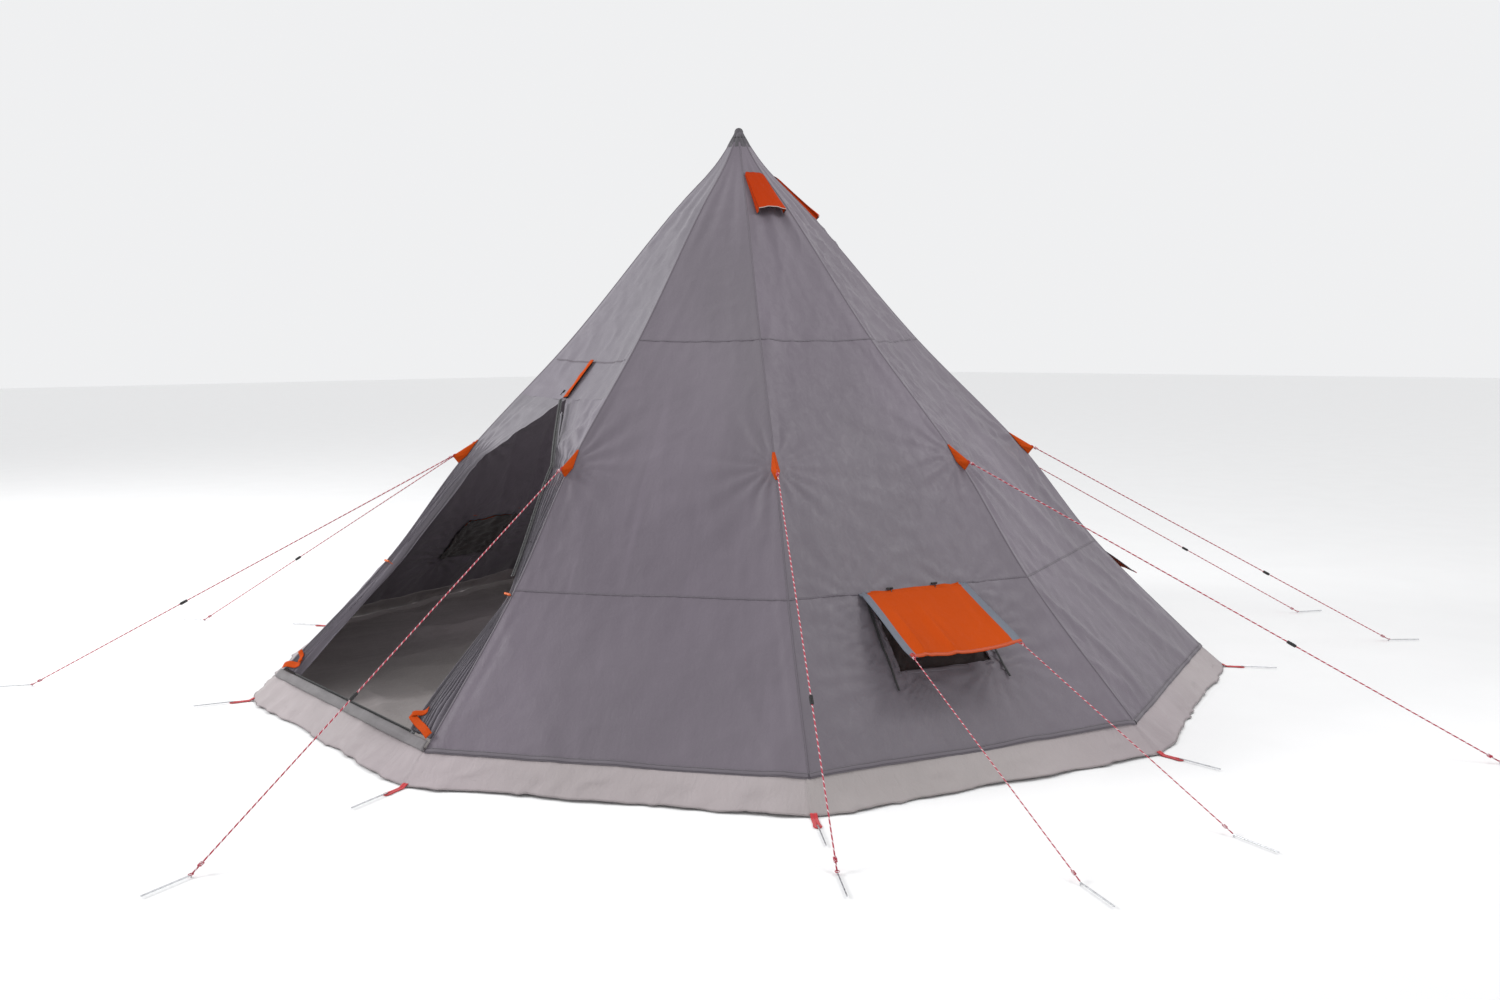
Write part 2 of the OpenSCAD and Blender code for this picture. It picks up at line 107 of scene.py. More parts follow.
class Shader:
    """A material's node tree, with its Principled shader."""

    def __init__(self, name, rough=0.6, **fixed):
        self.material = bpy.data.materials.new(name)
        self.material.use_nodes = True
        self.tree = self.material.node_tree
        self.out = self.tree.nodes["Principled BSDF"]
        self.out.inputs["Roughness"].default_value = rough
        for key, value in fixed.items():
            self.out.inputs[key.replace("_", " ")].default_value = value
        self.place = self.add("ShaderNodeTexCoord").outputs["UV"]

    def add(self, kind, **values):
        node = self.tree.nodes.new(kind)
        for key, value in values.items():
            if hasattr(node, key):
                setattr(node, key, value)
            else:
                self.feed(node.inputs[key.replace("_", " ")], value)
        return node

    def feed(self, socket, value):
        if isinstance(value, bpy.types.NodeSocket):
            self.tree.links.new(value, socket)
        else:
            socket.default_value = value

    def noise(self, scale, detail=3.0, stretch=(1, 1, 1), distortion=0.0):
        at = self.add("ShaderNodeMapping", Vector=self.place, Scale=stretch).outputs[0]
        values = {"Scale": scale, "Detail": detail, "Distortion": distortion}
        return self.add("ShaderNodeTexNoise", Vector=at, **values).outputs[0]

    def wave(self, pitch, direction="X"):
        """Stripes whose period is pitch, in metres."""
        values = {"bands_direction": direction, "Scale": math.pi / (10 * pitch)}
        return self.add("ShaderNodeTexWave", Vector=self.place, **values).outputs["Fac"]

    def math(self, operation, a, b=0.5):
        node = self.add("ShaderNodeMath", operation=operation)
        self.feed(node.inputs[0], a)
        self.feed(node.inputs[1], b)
        return node.outputs[0]

    def mix(self, share, a, b):
        node = self.add("ShaderNodeMix", data_type="RGBA")
        self.feed(node.inputs["Factor"], share)
        self.feed(node.inputs[6], a)
        self.feed(node.inputs[7], b)
        return node.outputs[2]

    def ramp(self, value, low, high, to_low=0.0, to_high=1.0):
        ends = {"From_Min": low, "From_Max": high, "To_Min": to_low, "To_Max": to_high}
        return self.add("ShaderNodeMapRange", Value=value, **ends).outputs[0]

    def bump(self, height, distance, strength=1.0):
        node = self.add("ShaderNodeBump", Height=height, Distance=distance, Strength=strength)
        if self.out.inputs["Normal"].is_linked:
            self.feed(node.inputs["Normal"], self.out.inputs["Normal"].links[0].from_socket)
        self.feed(self.out.inputs["Normal"], node.outputs[0])

    def paint(self, colour):
        self.feed(self.out.inputs["Base Color"], colour)


def shade(colour, factor):
    return tuple(c * factor for c in colour) + (1.0,)


def cloth(
    name, colour, uneven=0.12, rough=0.55, sheen=0.15, thread=0.0012, crumple=0.0012, wear_and_sheen=1.25, shine=0.35,
):
    """Plain-woven coated cloth: threads both ways, soft creases and slightly uneven dye.

    thread is the weave's pitch and crumple the creases' depth, in metres; the streaks up the cloth are a
    painted sheen, and wear_and_sheen sets how much lighter they are.
    """
    s = Shader(name, rough, Sheen_Weight=sheen, Sheen_Roughness=0.4, Specular_IOR_Level=shine)
    broad = s.noise(1.6, 4.0, (1, 0.45, 1), 0.6)
    dyed = s.mix(s.ramp(broad, 0.35, 0.68), shade(colour, 1 - uneven), shade(colour, 1 + uneven))
    # painted sheen: lighter streaks that run up the cloth
    sheen_streaks = s.noise(9, 5.0, (1, 0.12, 1), 0.9)
    dyed = s.mix(s.ramp(sheen_streaks, 0.56, 0.78, 0.0, 0.45), dyed, shade(colour, wear_and_sheen))
    warp, weft = s.wave(thread, "X"), s.wave(thread, "Y")
    weave = s.math("MULTIPLY", warp, weft)
    tint = s.ramp(s.noise(0.55, 1.0, (1, 0.6, 1)), 0.38, 0.62)
    greener = (colour[0] * 0.98, colour[1] * 1.07, colour[2] * 0.96)
    dyed = s.mix(s.math("MULTIPLY", tint, 0.5), dyed, shade(greener, 1.0))
    s.paint(s.mix(s.math("MULTIPLY", weave, 0.16), dyed, shade(colour, 0.55)))
    creases = s.noise(30, 6.0, (1, 0.55, 1), 1.4)
    s.feed(s.out.inputs["Roughness"], s.ramp(creases, 0.3, 0.7, rough - 0.08, rough + 0.1))
    s.bump(creases, crumple, 0.7)
    s.bump(s.noise(110, 3.0, (1, 0.7, 1), 0.5), crumple * 0.3, 0.6)
    s.bump(weave, thread * 0.15, 0.5)
    return s.material


def stitched(name, colour):
    """Felled seam or hem: two rows of stitches along it. U runs across the strip from 0 to 1, V along it."""
    s = Shader(name, Sheen_Weight=0.1, Specular_IOR_Level=0.3)
    parts = s.add("ShaderNodeSeparateXYZ", Vector=s.place)
    across, along = parts.outputs[0], parts.outputs[1]
    rows = s.math("ABSOLUTE", s.math("SUBTRACT", s.math("ABSOLUTE", s.math("SUBTRACT", across)), 0.3))
    on_row = s.math("LESS_THAN", rows, 0.06)
    dash = s.math("LESS_THAN", s.math("FRACT", s.math("MULTIPLY", along, 260)), 0.7)
    thread = s.math("MULTIPLY", on_row, dash)
    wear_and_sheen = s.mix(s.noise(7, 4.0), shade(colour, 0.82), shade(colour, 1.2))
    s.paint(s.mix(thread, wear_and_sheen, shade(colour, 0.4)))
    s.bump(s.noise(60, 4.0, (0.02, 1, 1)), 0.001, 0.6)
    s.bump(thread, 0.0004, 0.8)
    return s.material


def webbing(name, colour):
    """Narrow woven tape: a twill across it and slight fading."""
    s = Shader(name, 0.6, Sheen_Weight=0.3, Specular_IOR_Level=0.25)
    twill = s.wave(0.0022, "DIAGONAL")
    faded = s.mix(s.noise(25, 3.0), shade(colour, 0.75), shade(colour, 1.15))
    s.paint(s.mix(s.math("MULTIPLY", twill, 0.45), faded, shade(colour, 0.45)))
    s.bump(twill, 0.0005, 0.8)
    return s.material


def braid(name, colour, fleck):
    """Braided cord: white flecks wind round the coloured strands. U is the turn, V the length in metres."""
    s = Shader(name, 0.55, Sheen_Weight=0.3)
    parts = s.add("ShaderNodeSeparateXYZ", Vector=s.place)
    turn, along = parts.outputs[0], parts.outputs[1]

    def helix(pitch, way):
        lengthwise = s.math("MULTIPLY", along, 1 / pitch)
        return s.math("FRACT", s.math("ADD", lengthwise, s.math("MULTIPLY", turn, way)))

    flecks = s.math("LESS_THAN", helix(0.026, 1.0), 0.24)
    strands = s.math("PINGPONG", s.math("MULTIPLY", helix(0.004, 2.0), helix(0.004, -2.0)), 0.5)
    dirty = s.mix(s.noise(30, 3.0), shade(colour, 0.8), shade(colour, 1.15))
    s.paint(s.mix(flecks, dirty, shade(fleck, 1.0)))
    s.bump(strands, 0.0008, 0.8)
    return s.material


def net(name, colour, painted_light_through):
    """Fine insect net; between its threads are painted the shade and faint light seen through it."""
    s = Shader(name, 0.75, Sheen_Weight=0.2, Specular_IOR_Level=0.1)
    threads = s.math("MAXIMUM", s.wave(0.0016, "X"), s.wave(0.0016, "Y"))
    # painted shade and light seen through the holes
    painted_view_through = s.mix(s.noise(5, 3.0, distortion=0.8), shade(colour, 0.5), shade(painted_light_through, 1.0))
    s.paint(s.mix(s.ramp(threads, 0.8, 1.0, 0.0, 0.6), painted_view_through, shade(colour, 2.2)))
    s.bump(threads, 0.0003, 0.8)
    s.bump(s.noise(14, 3.0), 0.002, 0.5)
    return s.material


def moulded(name, colour, rough=0.45):
    """Moulded plastic: fine texture, with paler and duller scuffs, laid out on the object itself."""
    s = Shader(name, rough, Specular_IOR_Level=0.45)
    s.place = s.add("ShaderNodeTexCoord").outputs["Object"]
    scuffs = s.noise(35, 5.0, (1, 1, 0.4), 0.7)
    s.paint(s.mix(s.ramp(scuffs, 0.5, 0.75), shade(colour, 0.9), shade(colour, 1.7)))
    s.feed(s.out.inputs["Roughness"], s.ramp(scuffs, 0.3, 0.8, rough - 0.08, rough + 0.2))
    s.bump(s.noise(900, 2.0), 0.0001, 0.6)
    return s.material


def metal(name, colour, rough=0.35, coated=False):
    """Drawn or coated metal with long faint scratches."""
    s = Shader(name, rough, Metallic=0.0 if coated else 1.0, Specular_IOR_Level=0.5)
    s.place = s.add("ShaderNodeTexCoord").outputs["Object"]
    scratches = s.noise(60, 5.0, (1, 1, 0.03))
    s.paint(s.mix(s.ramp(scratches, 0.35, 0.75), shade(colour, 0.8), shade(colour, 1.15)))
    s.feed(s.out.inputs["Roughness"], s.ramp(scratches, 0.3, 0.7, rough - 0.1, rough + 0.12))
    s.bump(scratches, 0.0002, 0.5)
    return s.material


GREY = (0.150, 0.127, 0.155)
ORANGE = (0.50, 0.062, 0.005)
CANOPY = cloth("canopy_cloth", GREY, crumple=0.0021)
SEAM = stitched("canopy_seam", (0.133, 0.115, 0.137))
HEM = stitched("canopy_hem", (0.135, 0.119, 0.138))
MUD = cloth(
    "mud_wall_cloth", (0.375, 0.325, 0.34), uneven=0.10, rough=0.7, sheen=0.1, thread=0.0014,
    crumple=0.0045, wear_and_sheen=1.12,
)
SILL = cloth(
    "sill_cloth", (0.16, 0.147, 0.155), uneven=0.15, rough=0.65, sheen=0.1, thread=0.0014, crumple=0.0014,
)
# the canopy cloth painted lighter, to make up for the shade in the leaves' pleats; the door header wears it
# too
LIT_CANOPY_CLOTH = cloth("leaf_cloth", (0.190, 0.170, 0.200), wear_and_sheen=1.2)
FLOOR_CLOTH = cloth(
    "groundsheet_cloth", (0.33, 0.29, 0.30), uneven=0.16, rough=0.45, sheen=0.05, thread=0.003,
    crumple=0.004, wear_and_sheen=1.4,
)
ORANGE_CLOTH = cloth("orange_cloth", ORANGE, uneven=0.08, rough=0.78, sheen=0.0, wear_and_sheen=1.12, shine=0.08)
HOOD_CLOTH = cloth(
    "hood_cloth", (0.40, 0.034, 0.003), rough=0.75, sheen=0.0, crumple=0.0020, wear_and_sheen=1.15, shine=0.05,
)
SIDE_HEM = cloth("side_hem_cloth", (0.135, 0.145, 0.185), uneven=0.1, rough=0.6, sheen=0.1)
BINDING = stitched("pale_binding", (0.42, 0.34, 0.31))
RED_TAPE = webbing("red_webbing", (0.62, 0.02, 0.03))
BLACK_TAPE = webbing("black_ribbon", (0.016, 0.015, 0.017))
GUY_BRAID = braid("guy_cord", (0.42, 0.004, 0.036), fleck=(0.72, 0.60, 0.62))
# the nets' holes are painted with dark shade and the faint light seen through them
NET = net("insect_mesh", (0.021, 0.019, 0.021), painted_light_through=(0.055, 0.035, 0.03))
ROLLED_NET = net("rolled_mesh", (0.055, 0.05, 0.058), painted_light_through=(0.10, 0.095, 0.105))
PIPING = webbing("pale_piping", (0.40, 0.38, 0.42))
ORANGE_TAPE = webbing("orange_tape", (0.72, 0.11, 0.015))
COIL = moulded("zip_coil", (0.013, 0.013, 0.014), rough=0.4)
PLASTIC = moulded("black_plastic", (0.015, 0.014, 0.015))
CAP_PLASTIC = moulded("peak_plastic", (0.075, 0.069, 0.078), rough=0.6)
ORANGE_PLASTIC = moulded("orange_toggle", (0.7, 0.13, 0.02), rough=0.4)
POLE_METAL = metal("pole_steel", (0.42, 0.43, 0.45), coated=True)
ZIP_METAL = metal("zip_metal", (0.045, 0.045, 0.05))
PEG_METAL = metal("peg_steel", (0.6, 0.61, 0.63))

# ---------- meshes ----------


def piece(name, points, faces, materials, places=None, body="tent", face_material=None, thick=0.0, ride=True):
    """A mesh from numpy points. places are UV pairs in metres, one to a point."""
    mesh = bpy.data.meshes.new(name)
    vertices = np.asarray(points, float).reshape(-1, 3).tolist()
    mesh.from_pydata(vertices, [], [list(map(int, face)) for face in faces])
    for material in materials:
        mesh.materials.append(material)
    corners = np.empty(len(mesh.loops), np.int32)
    mesh.loops.foreach_get("vertex_index", corners)
    if places is None:
        places = np.zeros((len(mesh.vertices), 2))
    layer = mesh.uv_layers.new(name="cloth")
    layer.data.foreach_set("uv", np.asarray(places, np.float32).reshape(-1, 2)[corners].ravel())
    mesh.polygons.foreach_set("use_smooth", np.ones(len(mesh.polygons), bool))
    if face_material is not None:
        mesh.polygons.foreach_set("material_index", np.asarray(face_material, np.int32))
    mesh.validate()
    mesh.update()
    made = bpy.data.objects.new(name, mesh)
    bpy.context.scene.collection.objects.link(made)
    if thick:
        solid = made.modifiers.new("thickness", "SOLIDIFY")
        solid.thickness = thick
        solid.offset = 0
    if ride:
        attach(made, body)
    return made


def grid_faces(rows, columns, wrap=False, keep=None):
    """Quads of a grid, row by row; wrap joins the last column to the first."""
    last = columns if wrap else columns - 1
    r, c = np.meshgrid(np.arange(rows - 1), np.arange(last), indexing="ij")
    if keep is not None:
        r, c = r[keep], c[keep]
    r, c = r.ravel(), c.ravel()
    d = (c + 1) % columns
    return np.stack([r * columns + c, r * columns + d, (r + 1) * columns + d, (r + 1) * columns + c], 1)


def merge(parts):
    """Joins (points, faces, places) triples into one."""
    points, faces, places, start = [], [], [], 0
    for p, f, uv in parts:
        p = np.asarray(p, float).reshape(-1, 3)
        points.append(p)
        places.append(np.asarray(uv, float).reshape(-1, 2))
        faces += [[int(i) + start for i in face] for face in f]
        start += len(p)
    return np.concatenate(points), faces, np.concatenate(places)


def full_turn(count):
    """Angles once round, the last one back at the first."""
    return np.linspace(0, 2 * math.pi, count)


def together(*parts):
    """Coordinates side by side in the last axis, each spread to the same shape."""
    return np.stack(np.broadcast_arrays(*parts), -1)


def unit(direction):
    return np.asarray(direction, float) / np.linalg.norm(direction)


def run_length(path):
    """Length along a path, up to each of its points."""
    return np.concatenate([[0], np.cumsum(np.linalg.norm(np.diff(path, axis=0), axis=1))])


def joined(name, parts, material, width=1.0, **more):
    """One piece from several meshes; width scales their first place, across a strip."""
    points, faces, places = merge(parts)
    places[:, 0] *= width
    return piece(name, points, faces, [material], places, **more)


def surface(name, rows, places, materials, wrap=False, **more):
    """One piece from a grid of points, row by row."""
    grid = np.stack(rows)
    return piece(name, grid, grid_faces(*grid.shape[:2], wrap), materials, np.stack(places), **more)


def stands_for(made, slot, *nodes):
    """The piece takes the place of CAD nodes, which it hides; slot is not used."""
    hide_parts(*nodes)


def sheet_grid(point_rows, place_rows):
    """A grid surface from rows of points, as a triple for merge."""
    point_rows = np.asarray(point_rows, float)
    rows, columns = point_rows.shape[:2]
    return point_rows.reshape(-1, 3), grid_faces(rows, columns), np.asarray(place_rows).reshape(-1, 2)


def frames(path):
    """Directions along a path, with two directions across it that turn as little as they can."""
    path = np.asarray(path, float)
    along = np.gradient(path, axis=0)
    along /= np.linalg.norm(along, axis=1)[:, None]
    across = np.cross(along[0], [0, 0, 1.0] if abs(along[0, 2]) < 0.9 else [1.0, 0, 0])
    first = np.empty_like(along)
    for i, way in enumerate(along):
        across = across - way * np.dot(across, way)
        across /= np.linalg.norm(across)
        first[i] = across
    return along, first, np.cross(along, first)


def around(turn, a, b):
    """Directions round each point of a path, from the two across it."""
    return np.cos(turn)[None, :, None] * a[:, None] + np.sin(turn)[None, :, None] * b[:, None]


def tube(path, radius, sides=10):
    """A closed tube along a path."""
    path = np.asarray(path, float)
    _, a, b = frames(path)
    turn = full_turn(sides + 1)
    radius = np.broadcast_to(np.asarray(radius, float), (len(path),))[:, None, None]
    points = path[:, None] + radius * around(turn, a, b)
    u, v = np.meshgrid(turn / (2 * math.pi), run_length(path))
    faces = [list(f) for f in grid_faces(len(path), sides + 1)]
    count = sides + 1
    faces.append(list(range(sides))[::-1])
    faces.append([(len(path) - 1) * count + i for i in range(sides)])
    return points.reshape(-1, 3), faces, together(u, v).reshape(-1, 2)


def ellipse(centre, across, along):
    """Points once round a small loop, with its half axes as vectors."""
    turn = full_turn(21)[:, None]
    return np.asarray(centre) + np.cos(turn) * np.asarray(across) + np.sin(turn) * np.asarray(along)


def smooth(x, low, high):
    """A smooth rise from 0 at low to 1 at high."""
    t = np.clip((np.asarray(x, float) - low) / (high - low), 0, 1)
    return t * t * (3 - 2 * t)


def lattice(ix, iy, seed):
    """A fixed number from -1 to 1 for each whole place."""
    h = (ix.astype(np.int64) * 374761393 + iy.astype(np.int64) * 668265263 + seed * 974634777) & 0xFFFFFFFF
    h = ((h ^ (h >> 13)) * 1274126177) & 0xFFFFFFFF
    h = h ^ (h >> 16)
    return (h & 0xFFFF) / 32767.5 - 1


def noise(x, y, seed=0):
    """Smooth noise from -1 to 1 on a unit lattice."""
    x, y = np.broadcast_arrays(np.asarray(x, float), np.asarray(y, float))
    ix, iy = np.floor(x), np.floor(y)
    fx, fy = x - ix, y - iy
    fx, fy = fx * fx * (3 - 2 * fx), fy * fy * (3 - 2 * fy)
    low = lattice(ix, iy, seed) * (1 - fx) + lattice(ix + 1, iy, seed) * fx
    high = lattice(ix, iy + 1, seed) * (1 - fx) + lattice(ix + 1, iy + 1, seed) * fx
    return low * (1 - fy) + high * fy


def folds(x, y, seed):
    """Sharp-crested folds from 0 to 1."""
    return (1 - np.abs(noise(x, y, seed))) ** 3


# ---------- the canopy's surface ----------


def ridge_r(h):
    """Monotone cubic through the ridge outline, so that the ridges have no corners."""
    h = np.asarray(h, float)
    step = np.diff(RIDGE_H)
    slope = np.diff(RIDGE_R) / step
    tangent = np.concatenate([[slope[1]], (slope[:-1] + slope[1:]) / 2, [slope[-1]]])
    tangent[1] = slope[1]
    i = np.clip(np.searchsorted(RIDGE_H, h, side="right") - 1, 1, len(step) - 1)
    t = (h - RIDGE_H[i]) / step[i]
    curve = (
        (2 * t**3 - 3 * t**2 + 1) * RIDGE_R[i]
        + (t**3 - 2 * t**2 + t) * step[i] * tangent[i]
        + (3 * t**2 - 2 * t**3) * RIDGE_R[i + 1]
        + (t**3 - t**2) * step[i] * tangent[i + 1]
    )
    skirt = RIDGE_R[1] + (MUD_H - h) * (RIDGE_R[0] - RIDGE_R[1]) / MUD_H
    return np.where(h < MUD_H, skirt, curve)


def wall_y(h):
    """Where the middle of the door wall's flat facet is at a height."""
    return -ridge_r(h) * math.cos(HALF)


def half_w(h):
    """Half width of a wall at a height."""
    return ridge_r(h) * math.sin(HALF)


TABLE_H = np.linspace(0, PEAK, 600)
TABLE_S = np.concatenate([[0], np.cumsum(np.hypot(np.diff(wall_y(TABLE_H)), np.diff(TABLE_H)))])


def slope_s(h):
    """Length up the middle of a wall, from the ground."""
    return np.interp(h, TABLE_H, TABLE_S)


def fan(x, s, x0, s0, turns, seed, reach):
    """Creases that spread from a point where the cloth is pulled."""
    dx, ds = x - x0, s - s0
    far = np.hypot(dx, ds)
    angle = np.arctan2(ds, dx)
    crest = np.cos(angle * turns + 2.2 * noise(angle * 1.7, far / 0.3, seed))
    return crest * np.exp(-far / reach) * (1 - np.exp(-far / (0.25 * reach)))


def relief(k, x, h):
    """How far the cloth of wall k stands out from its flat facet."""
    w, s = half_w(h), slope_s(h)
    c = np.clip(x / np.maximum(w, 1e-6), -1, 1)
    edge = w * (1 - np.abs(c))
    sag = -0.020 * (1 - c * c) * np.sin(math.pi * np.clip((h - 0.2) / 2.2, 0, 1)) ** 2
    guy_s = slope_s(GUY_H + 0.02)
    w_guy = half_w(GUY_H)
    pulled = 0.0075 * (fan(x, s, w_guy, guy_s, 14, k, 0.22) + fan(x, s, -w_guy, guy_s, 14, k + 20, 0.22))
    puckers = 0.0050 * noise(edge / 0.030, s / 0.55, k + 40) * np.exp(-edge / 0.10)
    lean = 0.5 if k % 2 else -0.4
    across = x * math.cos(lean) + s * math.sin(lean)
    along = s * math.cos(lean) - x * math.sin(lean)
    long_folds = 0.009 * (folds(across / 0.24, along / 1.1, k + 60) - 0.4)
    lively = {0: 1.7, 3: 1.5, 4: 1.5, 2: 0.9, 1: 0.8}.get(k, 1.1)
    crumple = 0.0032 * (folds(x / 0.075, s / 0.12, k + 80) - 0.3)
    crumple = crumple + 0.0012 * noise(x / 0.03, s / 0.045, k + 90)
    if k in (3, 4):
        shrunk = smooth(h, 0.9, 1.5) * (1 - smooth(h, 2.1, 2.3)) * (0.4 + 0.6 * np.exp(-(w + x) / 0.25))
        crumple = crumple + 0.0075 * (folds(x / 0.05 + s, s / 0.09, k + 85) - 0.3) * shrunk
    gathered = sum(np.exp(-np.abs(s - slope_s(seam)) / 0.035) for seam in (LOW_SEAM, HIGH_SEAM))
    seam_pucker = 0.0016 * noise(x / 0.022, s / 0.1, k + 100) * gathered
    slack = 0.010 * noise(x / 0.22, h / 0.3, k + 120) * (1 - smooth(h, MUD_H, 0.36))
    apex = 0.07 * w * np.cos(c * 8 + noise(s / 0.3, c, k)) * smooth(h, 1.9, 2.35)
    out = pulled + puckers + (long_folds + crumple) * lively + seam_pucker + slack + apex
    if k in WINDOWS:
        low = slope_s(0.34)
        for side in (-1, 1):
            out = out + 0.0095 * fan(x, s, side * 0.21, low, 17, k + 140, 0.15)
            out = out + 0.0085 * fan(x, s, side * 0.215, slope_s(0.47), 19, k + 145, 0.13)
            out = out + 0.0070 * fan(x, s, side * 0.235, slope_s(LOW_SEAM), 15, k + 150, 0.13)
    room = np.minimum(1, w / 0.12)
    return sag + out * smooth(edge, 0, 0.05) * room


def wall_slant(h):
    """How fast a wall's middle leans in as it rises, and the length of that direction."""
    gap = 0.004
    run = (wall_y(h + gap) - wall_y(h - gap)) / (2 * gap)
    return run, np.hypot(1, run)


def turned(x, y, z, angle):
    """Points turned round the tent's axis."""
    c, s = math.cos(angle), math.sin(angle)
    return together(x * c - y * s, x * s + y * c, z)


def on_wall(k, x, h, lift=0.0, flat=False):
    """Points on wall k: x across it, h the height, lift out of the cloth. flat leaves the creases out."""
    x, h = np.broadcast_arrays(np.asarray(x, float), np.asarray(h, float))
    rise = lift + (0 if flat else relief(k, x, h))
    run, size = wall_slant(h)
    return turned(x, wall_y(h) - rise / size, h + rise * run / size, k * STEP)


def at_wall(k, points):
    """Points given in the door wall's frame, turned to wall k."""
    a = k * STEP
    turn = np.array([[math.cos(a), math.sin(a), 0], [-math.sin(a), math.cos(a), 0], [0, 0, 1]])
    return np.asarray(points, float) @ turn


def cad_y(h):
    """Where the CAD's flat door wall is at a height."""
    return float(-np.interp(h, RIDGE_H, RIDGE_R) * math.cos(HALF))


def grade(low, high):
    """Slope of the CAD wall between two of its levels, as an angle from level."""
    return math.atan2(high - low, cad_y(high) - cad_y(low))


LOW_GRADE = grade(MUD_H, LOW_SEAM)
HINGE_H = LOW_SEAM - 0.003
HINGE_LIFT = 0.011
WINDOW_W, WINDOW_L = 0.4, 0.32
HEAD_STRIP = 0.016  # cloth between an awning's hinge and its window
WINDOW_TOP = HINGE_H - HEAD_STRIP * math.sin(LOW_GRADE)
WINDOW_FOOT = HINGE_H - (HEAD_STRIP + WINDOW_L) * math.sin(LOW_GRADE)
NECK_GRADE = grade(NECK_H, THROAT_H)
VENT_W, VENT_START, VENT_END = 0.06, 0.025, 0.135
VENT_FOOT = NECK_H + VENT_START * math.sin(NECK_GRADE)
VENT_TOP = NECK_H + VENT_END * math.sin(NECK_GRADE)
DOOR_TOP = 1.343
DOOR_FOOT_W, TIE_W, DOOR_GUY_W = 0.575, 0.510, 0.310
SILL_H = 0.125
LEAF_FOOT = SILL_H + 0.011
TIE_H = 0.587


def open_w(h):
    """Half width of the door opening."""
    return np.interp(h, [LEAF_FOOT, TIE_H, GUY_H, DOOR_TOP], [DOOR_FOOT_W, TIE_W, DOOR_GUY_W, 0.0005])


COLUMNS = 72
FREE = 13  # columns on each side of the middle that a window spans
ROW_PITCH = 0.014
WALL_PITCH = 1.5  # distance between the walls' places in the cloth's pattern


def column_shares():
    """Places across a wall from -1 to 1, closer together at the ridges."""
    t = np.linspace(-1, 1, COLUMNS + 1)
    return 0.35 * t + 0.65 * np.sin(t * math.pi / 2)


SHARES = column_shares()
WINDOW_SHARE = SHARES[COLUMNS // 2 + FREE]


def column_x(k, h):
    """Places across wall k at height h, with two columns on the edges of its window and vent."""
    w = half_w(h)
    if k not in WINDOWS:
        return SHARES[None, :] * w[:, None]
    natural = WINDOW_SHARE * w
    window = smooth(h, 0.12, WINDOW_FOOT) * (1 - smooth(h, WINDOW_TOP, 0.95))
    vent = smooth(h, VENT_FOOT - 0.08, VENT_FOOT) * (1 - smooth(h, VENT_TOP, VENT_TOP + 0.08)) * (k in VENTS)
    inner = natural + window * (WINDOW_W / 2 - natural) + vent * (VENT_W / 2 - natural)
    inside = SHARES[None, :] / WINDOW_SHARE * inner[:, None]
    beyond = (np.abs(SHARES) - WINDOW_SHARE) / (1 - WINDOW_SHARE)
    outside = np.sign(SHARES) * (inner[:, None] + beyond * (w - inner)[:, None])
    return np.where(np.abs(SHARES) <= WINDOW_SHARE + 1e-9, inside, outside)


def canopy_rows():
    """Row heights, with one on every cut edge and seam."""
    marks = [MUD_H, WINDOW_FOOT, WINDOW_TOP, LOW_SEAM, GUY_H, DOOR_TOP, HIGH_SEAM, NECK_H]
    marks += [VENT_FOOT, VENT_TOP, CANOPY_TOP]
    heights = [MUD_H]
    for low, high in zip(marks, marks[1:]):
        count = max(1, round(float(slope_s(high) - slope_s(low)) / ROW_PITCH))
        heights += list(np.linspace(low, high, count + 1)[1:])
    return np.array(heights)


def make_canopy():
    """One continuous sheet round walls 1 to 9, closed over the door by the header."""
    h = canopy_rows()
    rows, total = len(h), SIDES * COLUMNS
    points = np.zeros((rows, total, 3))
    places = np.zeros((rows, total, 2))
    keep = np.ones((rows - 1, total), bool)
    middle = (h[:-1] + h[1:]) / 2
    in_window = (middle > WINDOW_FOOT) & (middle < WINDOW_TOP)
    in_vent = (middle > VENT_FOOT) & (middle < VENT_TOP)
    span = np.arange(COLUMNS)
    hole = (span >= COLUMNS // 2 - FREE) & (span < COLUMNS // 2 + FREE)
    for k in range(SIDES):
        x = column_x(k, h)[:, :COLUMNS]
        at = slice(k * COLUMNS, (k + 1) * COLUMNS)
        points[:, at] = on_wall(k, x, h[:, None])
        places[:, at, 0] = x + k * WALL_PITCH
        places[:, at, 1] = slope_s(h)[:, None]
        if k in WINDOWS:
            cut_out = in_window | in_vent if k in VENTS else in_window
            keep[:, at] &= ~(cut_out[:, None] & hole[None, :])
        if k == 0:
            keep[:, at] &= (middle > DOOR_TOP)[:, None]
    faces = grid_faces(rows, total, True, keep)
    columns = faces % total
    # faces of the door header get the lighter cloth: painted light on the door wall's upper part
    painted_lit_header = (columns.min(axis=1) < COLUMNS - 1) & (columns[:, 0] < COLUMNS)
    made = piece("canopy", points, faces, [CANOPY, LIT_CANOPY_CLOTH], places, face_material=painted_lit_header)
    drop_loose(made)
    stands_for(
        made, "canopy_cloth", "wall_1", "wall_2_front_window", "wall_3", "wall_4_window",
        "walls_5_6_7_rear", "wall_8_window", "wall_9", "door_header",
    )
    wall_area, header_area = facet_area(MUD_H), facet_area(DOOR_TOP)
    girth = 2 * SIDES * float(half_w(MUD_H))


def facet_area(low):
    """Area of one wall's flat facet from a height up to the canopy's top."""
    h = np.linspace(low, CANOPY_TOP, 200)
    return float(np.sum(2 * half_w((h[1:] + h[:-1]) / 2) * np.diff(slope_s(h))))


